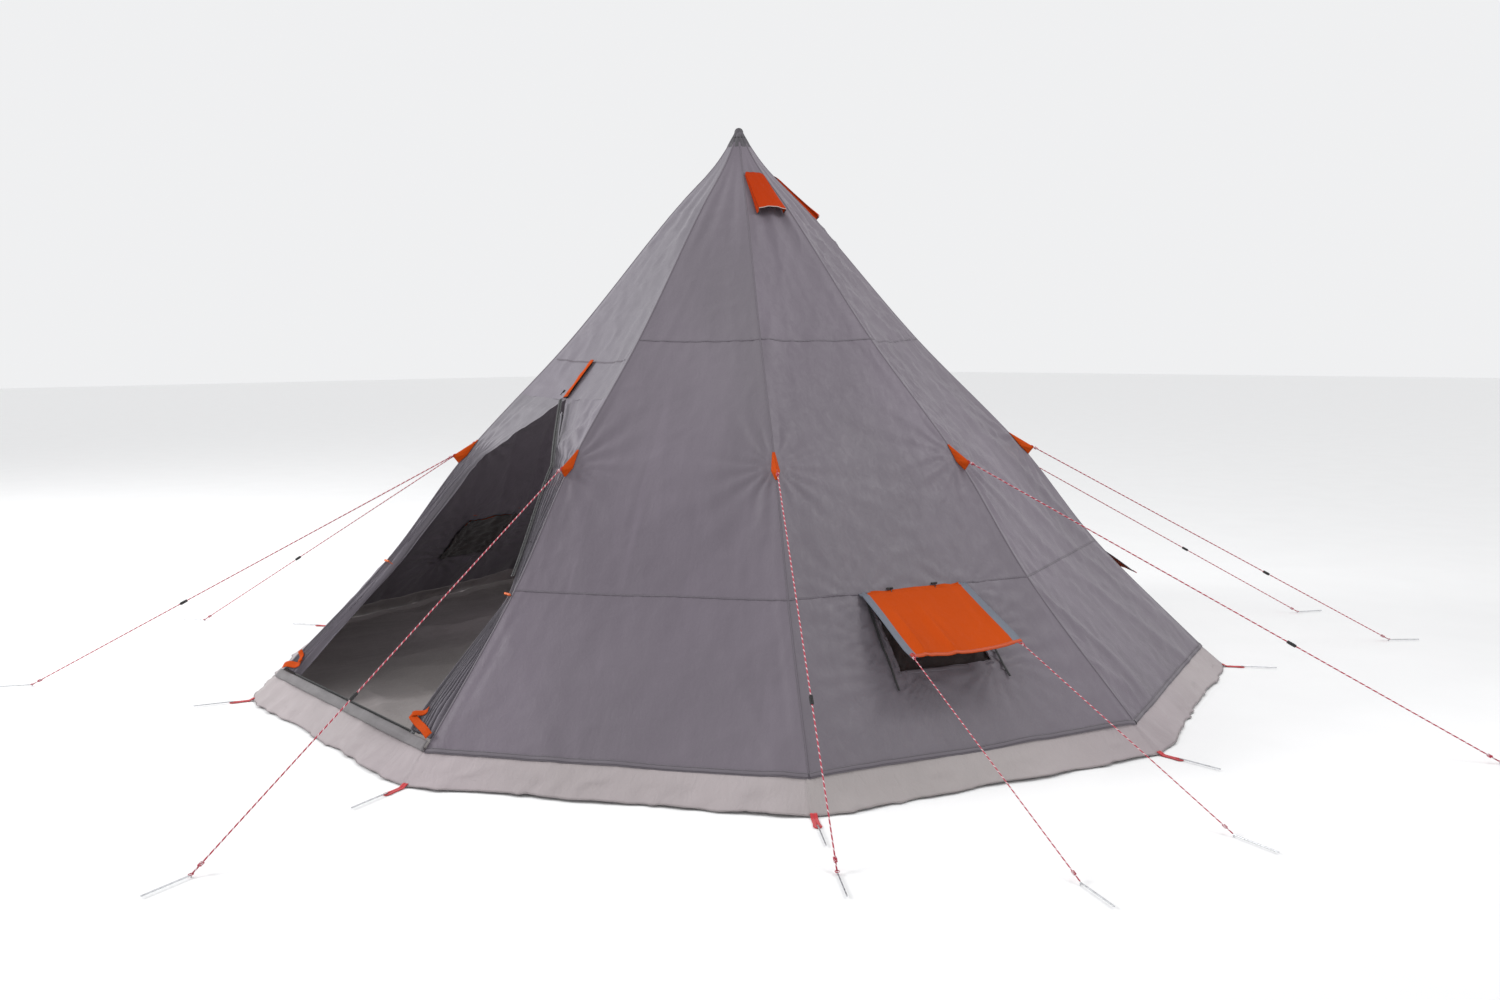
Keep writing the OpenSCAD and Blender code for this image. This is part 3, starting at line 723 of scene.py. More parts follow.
def drop_loose(made):
    """Removes points that no face uses."""
    mesh = made.data
    used = np.zeros(len(mesh.vertices), bool)
    corners = np.empty(len(mesh.loops), np.int32)
    mesh.loops.foreach_get("vertex_index", corners)
    used[corners] = True
    if used.all():
        return
    work = bmesh.new()
    work.from_mesh(mesh)
    work.verts.ensure_lookup_table()
    bmesh.ops.delete(work, geom=[work.verts[i] for i in np.flatnonzero(~used)], context="VERTS")
    work.to_mesh(mesh)
    work.free()


make_canopy()


# ---------- seams and hems ----------


def strip(path_points, outward, width, rise):
    """A narrow strip along a path: three points across it, the middle one raised."""
    path_points, outward = np.asarray(path_points, float), np.asarray(outward, float)
    along = np.gradient(path_points, axis=0)
    side = np.cross(along, outward)
    side /= np.linalg.norm(side, axis=1)[:, None]
    shares = np.array([-0.5, -0.42, 0, 0.42, 0.5])
    lifts = np.array([0.0, 1.0, 1.15, 1.0, 0.0]) * rise
    points = path_points[:, None] + shares[None, :, None] * width * side[:, None]
    points = points + lifts[None, :, None] * outward[:, None]
    u, v = np.meshgrid(shares + 0.5, run_length(path_points))
    return sheet_grid(points, together(u, v))


def wall_normal(k, h):
    """Directions straight out of wall k."""
    run, size = wall_slant(h)
    return at_wall(k, together(0, -1 / size, run / size))


def bearing(j):
    """Direction of ridge j from the pole, as an angle from +X."""
    return -math.pi / 2 + HALF + j * STEP


def round_axis(angle, r, h):
    """Points at a distance from the pole."""
    return together(r * math.cos(angle), r * math.sin(angle), h)


def ridge_point(j, h, out=0.0):
    return round_axis(bearing(j), ridge_r(h) + out, h)


def ridge_strip(j, low, high, width, rise):
    """A seam folded over ridge j, half of it on each wall."""
    h = np.linspace(low, high, max(8, int((high - low) / 0.02)))
    reach = np.minimum(width / 2, 0.4 * half_w(h))
    rows = []
    for share, lift in ((-1, 0.0), (-0.8, 1.0)):
        rows.append(on_wall(j, half_w(h) + share * reach, h, lift * rise))
    rows.append(ridge_point(j, h, rise * 1.3))
    for share, lift in ((0.8, 1.0), (1, 0.0)):
        rows.append(on_wall((j + 1) % SIDES, -half_w(h) + share * reach, h, lift * rise))
    u, v = np.meshgrid([0, 0.1, 0.5, 0.9, 1], slope_s(h))
    return sheet_grid(np.stack(rows, 1), together(u, v))


def cross_strip(k, left, right, h, width, rise):
    """A level strip across wall k."""
    x = np.linspace(left, right, max(6, int(abs(right - left) / 0.02)))
    level = np.full_like(x, h)
    return strip(on_wall(k, x, level, 0.0006), wall_normal(k, level), width, rise)


HEADER_SEAM = 1.505  # the door header's seam is lower than the walls' upper one


def make_seams():
    """Felled seams on the ridges and across the walls."""
    parts = [ridge_strip(j, MUD_H + 0.004, CANOPY_TOP - 0.01, 0.010, 0.0012) for j in range(SIDES)]
    for k in range(SIDES):
        high, low = float(half_w(HIGH_SEAM)) - 0.006, float(half_w(LOW_SEAM)) - 0.006
        parts.append(cross_strip(k, -high, high, HEADER_SEAM if k == 0 else HIGH_SEAM, 0.008, 0.0010))
        if k:
            parts.append(cross_strip(k, -low, low, LOW_SEAM + 0.012, 0.008, 0.0010))
    joined("canopy_seams", parts, SEAM)


def make_hems():
    """The canopy's lower hem and the frames round its windows."""
    hems = []
    for k in range(1, SIDES):
        w = float(half_w(MUD_H + 0.008)) - 0.002
        hems.append(cross_strip(k, -w, w, MUD_H + 0.008, 0.022, 0.003))
    for k in WINDOWS:
        for h in (WINDOW_FOOT - 0.006, WINDOW_TOP + 0.004):
            w = WINDOW_W / 2 + 0.012
            hems.append(cross_strip(k, -w, w, h, 0.014, 0.002))
        for side in (-1, 1):
            h = np.linspace(WINDOW_FOOT - 0.01, WINDOW_TOP + 0.004, 18)
            line = on_wall(k, side * (WINDOW_W / 2 + 0.006), h, 0.0006)
            hems.append(strip(line, wall_normal(k, h), 0.014, 0.002))
    joined("canopy_hems", hems, HEM)


make_seams()
make_hems()

# ---------- mud wall, sill and groundsheet ----------


SKIRT_PITCH = 1.6  # distance between the walls' places in the mud wall's pattern


def make_mud_wall():
    """Pale skirt under the canopy's hem: slack between the corners, with a wavy lower edge."""
    columns, rows = 64, 18
    points, places = [], []
    for k in range(SIDES):
        c = np.linspace(-1, 1, columns + 1)[:-1]
        wall_points, wall_places = [], []
        for t in np.linspace(0, 1, rows):
            h = (MUD_H + 0.006) * (1 - t) + 0.004 * t
            w = float(half_w(h))
            x = c * w
            edge = w * (1 - np.abs(c))
            free = smooth(edge, 0, 0.12)
            wave = 0.012 * noise(x / 0.20, t * 0.8, k + 200) + 0.003 * noise(x / 0.05, t * 1.5, k + 210)
            crease = 0.015 * (folds(x / 0.10 + t * 0.6, t * 1.3, k + 220) - 0.3)
            crease = crease + 0.0045 * noise(x / 0.03, t * 3, k + 225)
            out = ((0.010 + wave) * smooth(t, 0, 0.9) + crease * smooth(t, 0, 0.3)) * free - 0.003 * (1 - t)
            level = h + 0.007 * smooth(t, 0.6, 1) * (0.5 + 0.5 * noise(x / 0.13, 3.0, k + 230)) * free
            y = wall_y(h) - np.where(out < 0, 0.1 * out, out)
            free_foot = at_wall(k, together(x, y, np.maximum(level, 0.001)))
            sewn = on_wall(k, x, MUD_H + 0.014 * (1 - t / 0.3), -0.003)
            share = float(smooth(t, 0.1, 0.5))
            wall_points.append(sewn * (1 - share) + free_foot * share)
            wall_places.append(together(x + k * SKIRT_PITCH, t * 0.155))
        points.append(np.stack(wall_points))
        places.append(np.stack(wall_places))
    grid, uv = np.concatenate(points, 1), np.concatenate(places, 1)
    faces = grid_faces(rows, SIDES * columns, True)[:, ::-1]
    made = piece("mud_wall_skirt", grid, faces, [MUD], uv, thick=0.0015)
    stands_for(made, "mud_wall_cloth", "mud_wall")
    ring = np.vstack([grid[-1], grid[-1][:1]])
    joined("mud_wall_edging", [tube(ring + np.array([0, 0, 0.0012]), 0.0016, 6)], MUD)


def make_sill():
    """Doubled cloth sill across the foot of the door, with the zip along its top."""
    x = np.linspace(-1, 1, 90)
    rows, places = [], []
    for t in np.linspace(0, 1, 9):
        h = MUD_H + 0.001 + t * (SILL_H - MUD_H)
        w = float(half_w(h)) - 0.002
        puff = 0.008 + 0.006 * math.sin(math.pi * t) + 0.004 * noise(x * w / 0.06, t * 2, 300)
        rows.append(on_wall(0, x * w, h, puff, True))
        places.append(together(x * w, t * 0.03))
    made = surface("door_sill_cloth", rows, places, [SILL], thick=0.002)
    stands_for(made, "sill_cloth", "door_sill")
    2 * float(half_w(MUD_H))


def make_groundsheet():
    """Laid floor: slightly wrinkled, turned up where it meets the mud wall."""
    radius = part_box("groundsheet")[1].x - 0.004
    rings, spokes = 70, 240
    a = full_turn(spokes + 1)[:-1]
    facet = math.cos(HALF) / np.cos((a % STEP) - HALF)
    rows, places = [], []
    for share in np.linspace(0.02, 1, rings) ** 0.8:
        r = radius * share * facet
        x, y = r * np.cos(a), r * np.sin(a)
        wrinkle = 0.016 * (folds(x / 0.42 + 9, y / 0.22 + 9, 310) - 0.2)
        wrinkle = wrinkle + 0.007 * folds(x / 0.16, y / 0.11, 320)
        rows.append(together(x, y, 0.003 + np.maximum(wrinkle, 0) + 0.018 * smooth(share, 0.99, 1.0)))
        places.append(together(x, y))
    made = surface("groundsheet_cloth", rows, places, [FLOOR_CLOTH], True)
    stands_for(made, "groundsheet_cloth", "groundsheet")


make_mud_wall()
make_sill()
make_groundsheet()

# ---------- door leaves ----------

PLEATS = 8.5
SLUMP = 0.055


def leaf_edge(side, h):
    """Half width of the opening at a leaf's free edge; the right leaf's foot slumps inward."""
    slump = SLUMP if side > 0 else 0.0
    return open_w(h) - slump * (1 - smooth(h, 0.22, TIE_H))


def leaf_grid(side):
    """A leaf folded back along its ridge: flat at the head, gathered in deep pleats down to the sill."""
    rows, columns = 130, 150
    h = np.linspace(DOOR_TOP, LEAF_FOOT, rows)[:, None]
    t = np.linspace(0, 1, columns)[None, :]
    outer, inner = half_w(h), leaf_edge(side, h)
    gather = 1 - smooth(h, GUY_H - 0.20, GUY_H + 0.14)
    at_tie = np.exp(-((h - TIE_H) / 0.09) ** 2)
    at_tab = 0.6 * np.exp(-((h - GUY_H) / 0.10) ** 2)
    flare = 1 - smooth(h, LEAF_FOOT, 0.42)
    wander = 0.10 * noise(t * 5, h / 0.25, 400 + side) * gather
    phase = 2 * math.pi * PLEATS * (t + wander * smooth(t, 0, 0.2) * (1 - smooth(t, 0.9, 1)))
    uneven = 0.75 + 0.35 * noise(t * PLEATS, h / 0.35, 410 + side)
    deep = 0.034 * gather * uneven * smooth(t, 0, 0.10) * (1 - 0.35 * at_tab)
    pinch = 0.010 * at_tie
    inward = deep * (0.5 - 0.5 * np.cos(phase)) + pinch * smooth(t, 0.1, 0.5)
    ripple = 0.0030 * noise(t * 13, h / 0.16, 420 + side) * smooth(t, 0.02, 0.1)
    swell = 0.012 * flare * np.sin(math.pi * t)
    x = outer - (outer - inner) * t + 0.25 * inward * np.sin(phase) * gather
    lift = -inward + ripple + swell
    base = relief(0, side * x, h) * (1 - smooth(t, 0.1, 0.6) * gather)
    points = on_wall(0, side * x, h, lift + base, True)
    return points, together(outer * (1 - t) + 3 * side, slope_s(h))


def make_leaf(side, name):
    """One door leaf, folded back and tied beside the opening."""
    # the leaf wears the canopy cloth painted lighter, against the shade of its pleats
    made = surface(f"door_leaf_cloth_{name}", *leaf_grid(side), [LIT_CANOPY_CLOTH])
    stands_for(made, "canopy_cloth", f"door_leaf_{name}")
    cut = (facet_area(LEAF_FOOT) - facet_area(DOOR_TOP)) / 2
    float(half_w(LEAF_FOOT))


for leaf_side, leaf_name in ((-1, "left"), (1, "right")):
    make_leaf(leaf_side, leaf_name)


def make_door_trims():
    """Orange L-shaped trims where the leaves meet the sill."""
    trims = []
    for side in (-1, 1):
        t = np.linspace(0, 1, 24)
        inner, outer = float(leaf_edge(side, LEAF_FOOT)), float(half_w(LEAF_FOOT))
        x = outer - 0.006 + (inner - outer - 0.012) * t
        h = LEAF_FOOT + 0.002 + 0.030 * t + 0.002 * np.sin(2 * math.pi * t)
        line = on_wall(0, side * x, h, 0.014 + 0.005 * np.sin(7 * t), True)
        trims.append(strip(line, wall_normal(0, h), 0.030, 0.003))
        x = inner - 0.012 + 0.075 * t
        h = LEAF_FOOT + 0.034 + 0.030 * t
        line = on_wall(0, side * x, h, 0.016 + 0.006 * np.sin(6 * t + 1), True)
        trims.append(strip(line, wall_normal(0, h), 0.022, 0.003))
    joined("door_corner_trims", trims, ORANGE_CLOTH, thick=0.0015)


def make_tie_loops():
    """Loops that hold the gathered leaves."""
    loops = []
    for side in (-1, 1):
        turn = full_turn(33)
        low, high = float(open_w(TIE_H)), float(half_w(TIE_H))
        x = (low + high) / 2 + (high - low) / 2 * 0.94 * np.cos(turn)
        lift = -0.016 + 0.020 * np.sin(turn)
        loops.append(tube(on_wall(0, side * x, TIE_H, lift, True), 0.002, 8))
    joined("door_tie_loops", loops, ORANGE_TAPE)


ROLL_LOW, ROLL_HIGH, ROLL_DEPTH = 0.64, 1.29, -0.046


def make_mesh_roll():
    """The insect mesh door, rolled in two slack bundles along the right leaf, inside."""
    bundles = []
    h = np.linspace(ROLL_LOW, ROLL_HIGH, 60)
    for offset, radius, seed in ((-0.022, 0.015, 500), (0.004, 0.0115, 510)):
        x = open_w(h) + offset + 0.004 * noise(h / 0.12, 0.0, seed)
        depth = ROLL_DEPTH + 0.004 * noise(h / 0.1, 5.0, seed)
        line = on_wall(0, x, h, depth, True)
        _, a, b = frames(line)
        turn = full_turn(29)
        closing = turn * 2 * (turn < 6.2)  # the last place repeats the first
        flute = 1 + 0.16 * np.cos(6 * turn + 7 * h[:, None]) + 0.12 * noise(closing, h[:, None] / 0.03, seed)
        ends = np.minimum(1, np.minimum(h - h[0], h[-1] - h) / 0.012)[:, None]
        size = radius * flute * (0.35 + 0.65 * ends)
        places = together(turn * radius, slope_s(h)[:, None])
        bundles.append(sheet_grid(line[:, None] + size[..., None] * around(turn, a, b), places))
    made = joined("mesh_door_bundles", bundles, ROLLED_NET)
    stands_for(made, "insect_mesh", "mesh_door_roll")


def make_roll_trims():
    """Pale piping along the rolled mesh, and the ribbons that tie it."""
    h = np.linspace(ROLL_LOW, ROLL_HIGH, 60)
    edges = []
    for x_off, depth in ((-0.040, -0.042), (-0.018, -0.030), (0.003, -0.034)):
        x = open_w(h) + x_off + 0.003 * noise(h / 0.14, x_off * 90, 520)
        edges.append(tube(on_wall(0, x, h, depth, True), 0.0026, 8))
    joined("mesh_door_piping", edges, PIPING)
    ties = []
    for level in (0.72, 0.93, 1.14):
        turn = full_turn(25)
        x = open_w(level) - 0.011 + 0.029 * np.cos(turn)
        ties.append(tube(on_wall(0, x, level, ROLL_DEPTH + 0.018 * np.sin(turn), True), 0.0017, 8))
    joined("mesh_door_ties", ties, BLACK_TAPE)


TOOTH_PITCH = 0.0035
# One tooth: across, along and out, in half widths, half lengths and heights
TOOTH = [(a, b, 0) for a, b in ((-1, -1), (1, -1), (1, 1), (-1, 1))]
TOOTH += [(0.7 * a, 0.6 * b, 1) for a, b, _ in TOOTH]
BLOCK = [(0, 3, 2, 1), (4, 5, 6, 7), (0, 1, 5, 4), (1, 2, 6, 5), (2, 3, 7, 6), (3, 0, 4, 7)]


def zip_run(line, normal, width):
    """Zip tape with a row of coil teeth along its middle."""
    tape = strip(line, normal, width, 0.0008)
    long = run_length(line)
    at = np.arange(0.004, long[-1] - 0.004, TOOTH_PITCH)
    spots, out = (
        np.stack([np.interp(at, long, values[:, i]) for i in range(3)], -1) for values in (line, normal)
    )
    along = unit(line[-1] - line[0])
    side = np.cross(along, out)
    points = np.concatenate([
        [spot + 0.0028 * a * s + 0.0011 * b * along + (0.0009 + 0.0014 * c) * n for a, b, c in TOOTH]
        for spot, s, n in zip(spots, side, out)
    ])
    teeth = [[i * len(TOOTH) + v for v in face] for i in range(len(spots)) for face in BLOCK]
    return tape, (points, teeth, np.zeros((len(points), 2)))


def make_zips():
    """Sill zip, the closed top of the door zip, and its free half down the right leaf."""
    tapes, coils = [], []
    x = np.linspace(-DOOR_FOOT_W, DOOR_FOOT_W, 80)
    level = np.full_like(x, SILL_H + 0.005)
    runs = [(on_wall(0, x, level, 0.001, True), wall_normal(0, level), 0.013)]
    h = np.linspace(DOOR_TOP + 0.004, DOOR_TOP + 0.16, 20)
    runs.append((on_wall(0, np.zeros_like(h), h, 0.0012), wall_normal(0, h), 0.011))
    h = np.linspace(TIE_H + 0.06, DOOR_TOP - 0.02, 60)
    runs.append((on_wall(0, open_w(h) + 0.002, h, 0.006, True), wall_normal(0, h), 0.022))
    for line, normal, width in runs:
        tape, coil = zip_run(line, normal, width)
        tapes.append(tape)
        coils.append(coil)
    stands_for(joined("zip_tape_strips", tapes, BLACK_TAPE), "zip_tape", "zip_tapes")
    joined("zip_coils", coils, COIL)


def make_rain_flap():
    """Orange strip sewn down beside the closed top of the door zip and curling over it."""
    rows, places = [], []
    across = np.linspace(0, 1, 12)
    for h in np.linspace(DOOR_TOP + 0.004, DOOR_TOP + 0.165, 26):
        x = -0.022 + 0.044 * across
        curl = 0.0015 + 0.013 * np.sin(across * 1.9) ** 0.8 + 0.0015 * noise(across * 3, h / 0.03, 600)
        rows.append(on_wall(0, x, h, curl))
        places.append(together(x, slope_s(h)))
    made = surface("rain_flap_cloth", rows, places, [ORANGE_CLOTH], thick=0.0014)
    stands_for(made, "orange_cloth", "door_rain_flap")


make_door_trims()
make_tie_loops()
make_mesh_roll()
make_roll_trims()
make_zips()
make_rain_flap()

# ---------- windows ----------

AWNING_W = 0.486
AWNING_L = 0.393
AWNING_OPEN = math.radians(23)
AWNING_SLACK = math.radians(12)
AWNING_EDGE = 0.03  # width of the dark side hems
AWNING_HEAD = 0.026  # cloth sewn to the wall above the hinge


def tilted(points, angle, y, z):
    """Points turned about x, then moved along y and z."""
    p = np.asarray(points, float)
    c, s = math.cos(angle), math.sin(angle)
    return together(p[..., 0], p[..., 1] * c - p[..., 2] * s + y, p[..., 1] * s + p[..., 2] * c + z)


def hinge_frame(k, points, angle=0.0):
    """From an awning's own frame (x across, y up the slope, z out) to the tent's."""
    return at_wall(k, tilted(tilted(points, -angle, 0, HINGE_LIFT), LOW_GRADE, cad_y(HINGE_H), HINGE_H))


def awning_lift(k, x, down):
    """Soft folds that run down an awning, and the slack between its corners."""
    c = x / (AWNING_W / 2)
    loose = smooth(down, 0.02, 0.3)
    soft = 0.0085 * noise(x / 0.06, down / 0.5, k + 700) + 0.0026 * noise(x / 0.026, down / 0.2, k + 710)
    creases = 0.0120 * (folds(x / 0.11 + 0.15 * down, down / 0.9, k + 720) - 0.3)
    held = k == 2
    hemmed = 1 - 0.6 * smooth(down, AWNING_L - 0.06, AWNING_L)
    slack = (-0.018 if held else -0.002) * (1 - c * c) * (down / AWNING_L) ** 1.5
    return loose * hemmed * (soft + 1.8 * creases if held else 0.6 * (soft + creases)) + slack


def make_awning(k, side_name):
    """Awning: its head is sewn to the wall above the window and folds over the hinge line."""
    body, angle = f"awning_{side_name}", {2: AWNING_OPEN, 4: AWNING_SLACK}.get(k, 0.0)
    x = np.linspace(-1, 1, 61) * AWNING_W / 2
    rows, places = [], []
    for back in (AWNING_HEAD, 0.019, 0.012, 0.006):
        lift = 0.002 + (HINGE_LIFT + 0.001) * smooth(0.024 - back, 0, 0.024)
        rows.append(on_wall(k, x, HINGE_H + back * math.sin(LOW_GRADE), lift))
        places.append(together(x, back))
    for down in np.linspace(0.0, AWNING_L, 56):
        rows.append(hinge_frame(k, together(x, -down, awning_lift(k, x, down)), angle))
        places.append(together(x, -down))
    on_hem = np.abs((x[:-1] + x[1:]) / 2) > AWNING_W / 2 - AWNING_EDGE
    made = surface(
        f"{body}_cloth", rows, places, [ORANGE_CLOTH, SIDE_HEM],
        face_material=np.tile(on_hem.astype(int), len(rows) - 1), thick=0.0016, ride=False,
    )
    stands_for(made, "orange_cloth", body)
    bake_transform(made)
    make_awning_trims(k, side_name, angle)


def make_awning_trims(k, side_name, angle):
    """Stitched hem along an awning's lower edge, and a red loop at each corner."""
    body = f"awning_{side_name}"
    low, end = AWNING_L - 0.009, AWNING_W / 2 - 0.001
    x = np.linspace(-end, end, 60)
    line = hinge_frame(k, together(x, -low, awning_lift(k, x, low) + 0.0012), angle)
    out = hinge_frame(k, [0, 0, 1.0], angle) - hinge_frame(k, [0, 0, 0.0], angle)
    hem = strip(line, np.tile(out, (len(x), 1)), 0.017, 0.0012)
    joined(f"{body}_hem", [hem], stitched(f"orange_hem_{side_name}", ORANGE), body=body)
    loops = []
    for side in (-1, 1):
        centre = [side * (AWNING_W / 2 - 0.010), -AWNING_L + 0.002, 0.002]
        ring = ellipse(centre, [0.007, 0, 0], [0, 0.012, 0])
        loops.append(tube(hinge_frame(k, ring, angle), 0.0022, 8))
    joined(f"{body}_loops", loops, RED_TAPE, body=body)


def make_window_mesh():
    """Insect mesh behind each window and vent, following the cloth in front of it."""
    parts = []
    window = (WINDOW_W + 0.04, WINDOW_FOOT - 0.015, WINDOW_TOP + 0.002)
    vent = (VENT_W + 0.006, VENT_FOOT - 0.008, VENT_TOP)
    for k in WINDOWS:
        for w, low, high in (window, vent) if k in VENTS else (window,):
            x = np.linspace(-w / 2, w / 2, 30)
            h = np.linspace(low, high, 26)
            xx, hh = np.meshgrid(x, h)
            sag = 0.004 * noise(xx / 0.1, hh / 0.1, k + 800)
            parts.append(sheet_grid(on_wall(k, xx, hh, -0.010 + sag), together(xx, slope_s(hh))))
    stands_for(joined("window_and_vent_mesh", parts, NET), "insect_mesh", "mesh_panels")


RIBBON_L, RIBBON_W = 0.40, 0.010


def make_ribbons():
    """Black ribbons that hang beside each window, lying slackly on the wall."""
    parts = []
    for k in WINDOWS:
        for side in (-1, 1):
            t = np.linspace(0, 1, 40)
            down = 0.02 + RIBBON_L * t
            lean = RIBBON_L * math.radians(3.5)
            x = side * (0.222 + lean * t + 0.002 * noise(t * 3, k, 820 + side) * smooth(t, 0, 0.3))
            h = HINGE_H - down * math.sin(LOW_GRADE)
            lift = 0.0035 + 0.002 * (1 + noise(t * 6, k, 830 + side)) * smooth(t, 0, 0.2)
            cloth_out = relief(k, x, h)
            bridged = np.array([cloth_out[max(0, i - 6):i + 7].max() for i in range(len(t))])
            line = on_wall(k, x, h, lift + bridged, True)
            normal = wall_normal(k, h)
            twist = 0.25 * noise(t * 3, 2.0 * k, 840 + side) * smooth(t, 0.1, 0.6)
            along = np.gradient(line, axis=0)
            along /= np.linalg.norm(along, axis=1)[:, None]
            normal = normal * np.cos(twist)[:, None] + np.cross(along, normal) * np.sin(twist)[:, None]
            parts.append(strip(line, normal, RIBBON_W, 0.0006))
    made = joined("awning_tie_ribbons", parts, BLACK_TAPE, RIBBON_W, thick=0.0009)
    stands_for(made, "tie_ribbon", "awning_ties")


def barrel(centre, axis, length, radius):
    """Grooved barrel toggle with rounded ends."""
    t = np.linspace(-1, 1, 33)
    groove = 1 - 0.28 * np.exp(-((t / 0.13) ** 2)) - 0.06 * np.cos(t * 22)
    round_end = np.sqrt(np.clip(1 - np.clip((np.abs(t) - 0.8) / 0.21, 0, 1) ** 2, 0.02, 1))
    path = np.asarray(centre) + t[:, None] * length / 2 * np.asarray(axis)
    return tube(path, radius * groove * round_end, 16)


TOGGLE_X = 0.1  # distance of a window's two toggles from its middle


def make_toggles():
    """Barrel toggles that hold the door leaves and the rolled awnings, with their loops."""
    door, windows, cords = [], [], []
    across = (TIE_W + float(half_w(TIE_H))) / 2
    for side in (-1, 1):
        spot = on_wall(0, side * across, TIE_H, 0.0085, True)
        door.append(barrel(spot, (1, 0, 0), 0.042, 0.0048))
    for k in WINDOWS:
        h = LOW_SEAM + 0.026 * math.sin(grade(LOW_SEAM, GUY_H))
        axis = at_wall(k, [1, 0, 0])
        for side in (-1, 1):
            spot = on_wall(k, side * TOGGLE_X, h, 0.0065)
            windows.append(barrel(spot, axis, 0.030, 0.0042))
            t = np.linspace(0, 1, 14)
            x = side * TOGGLE_X + 0.004 * np.cos(2 * math.pi * t)
            line = on_wall(k, x, h - 0.018 * np.sin(math.pi * t), 0.004 + 0.006 * np.sin(math.pi * t))
            cords.append(tube(line, 0.0014, 7))
    stands_for(joined("door_toggles", door, ORANGE_PLASTIC), "toggle_plastic", "toggles")
    joined("awning_toggles", windows, PLASTIC)
    joined("toggle_loops", cords, BLACK_TAPE)


for window_wall, window_name in WINDOWS.items():
    make_awning(window_wall, window_name)
make_window_mesh()
make_ribbons()
make_toggles()

# ---------- vent hoods ----------

HOOD_TOP, HOOD_FOOT = 2.390, 2.212
HOOD_GAP, HOOD_RISE = 0.0095, 0.0545
HOOD_TOP_W, HOOD_FOOT_W = 0.050, 0.072
HOOD_L = 0.24
GUSSET_DROP = 0.032
HOOD_HEAD = 0.016  # cloth sewn to the wall above the hinge
HOOD_SHARES = np.append(np.linspace(0, 0.984, 22), 1)  # rows down a hood; the last is its bound edge


def hood_half(share):
    """Half width of a hood, from its head to its foot."""
    return HOOD_TOP_W + (HOOD_FOOT_W - HOOD_TOP_W) * share


def hood_line(k, share, c):
    """A point of the hood's cloth: share runs from its sewn head to its foot, c across it."""
    y0 = cad_y(HOOD_TOP) - HOOD_GAP
    y1 = cad_y(HOOD_FOOT) - HOOD_RISE
    arch = 0.007 * share * (1 - c * c) + 0.002 * noise(c * 3, share * 3, k + 900)
    y = y0 + (y1 - y0) * share - arch * 0.7
    z = HOOD_TOP + (HOOD_FOOT - HOOD_TOP) * share + arch * 0.7 - 0.006 * share * c * c
    return at_wall(k, together(hood_half(share) * c, y, z))


def make_hood(k, side_name):
    """Vent hood, with its head sewn to the wall."""
    body = f"vent_hood_{side_name}"
    c = np.linspace(-1, 1, 25)
    rows, places = [], []
    for back in (HOOD_HEAD, 0.010, 0.004):
        lift = 0.002 + 0.4 * (HOOD_HEAD - back)
        rows.append(on_wall(k, c * (HOOD_TOP_W - back), HOOD_TOP + back, lift))
        places.append(together(c * 0.04, back))
    for share in HOOD_SHARES:
        rows.append(hood_line(k, share, c))
        places.append(together(c * hood_half(share), -HOOD_L * share))
    colours = np.zeros((len(rows) - 1, len(c) - 1), int)
    colours[-1] = 1
    made = surface(
        f"{body}_cloth", rows, places, [HOOD_CLOTH, BINDING],
        face_material=colours.ravel(), thick=0.0016, ride=False,
    )
    stands_for(made, "orange_cloth", body)
    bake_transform(made)
    make_gussets(k, body)


def make_gussets(k, body):
    """Cloth triangles that close a hood's sides, each with a dark bound edge."""
    out = at_wall(k, [0, -math.sin(NECK_GRADE), math.cos(NECK_GRADE)])
    anchor = on_wall(k, 0.0, (HOOD_TOP + HOOD_FOOT) / 2, 0.004, True)
    for side, name in ((-1, "left"), (1, "right")):
        rows, places = [], []
        for share in HOOD_SHARES:
            top = hood_line(k, share, side) - 0.002 * out
            foot_h = HOOD_TOP + (HOOD_FOOT - GUSSET_DROP - HOOD_TOP) * share
            reach = min(hood_half(share), 0.98 * float(half_w(foot_h)))
            foot = on_wall(k, side * reach, foot_h, 0.002)
            t = np.linspace(0, 1, 7)[:, None]
            bow = 0.006 * share * np.sin(math.pi * t) * at_wall(k, [-side, 0, 0])
            rows.append(foot * (1 - t) + top * t + bow)
            places.append(together(t[:, 0] * 0.06 * share, HOOD_L * share))
        gusset = surface(f"{body}_gusset_{name}", rows, places, [HOOD_CLOTH])
        edge = joined(f"{body}_edge_{name}", [tube(rows[-1], 0.0022, 8)], BLACK_TAPE)
        for part in (gusset, edge):
            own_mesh(part)


for vent_wall in VENTS:
    make_hood(vent_wall, WINDOWS[vent_wall])


CAP_L = 0.100
CAP_FOOT_R, CAP_CORD_R, KNOB_R = 0.062, 0.034, 0.022


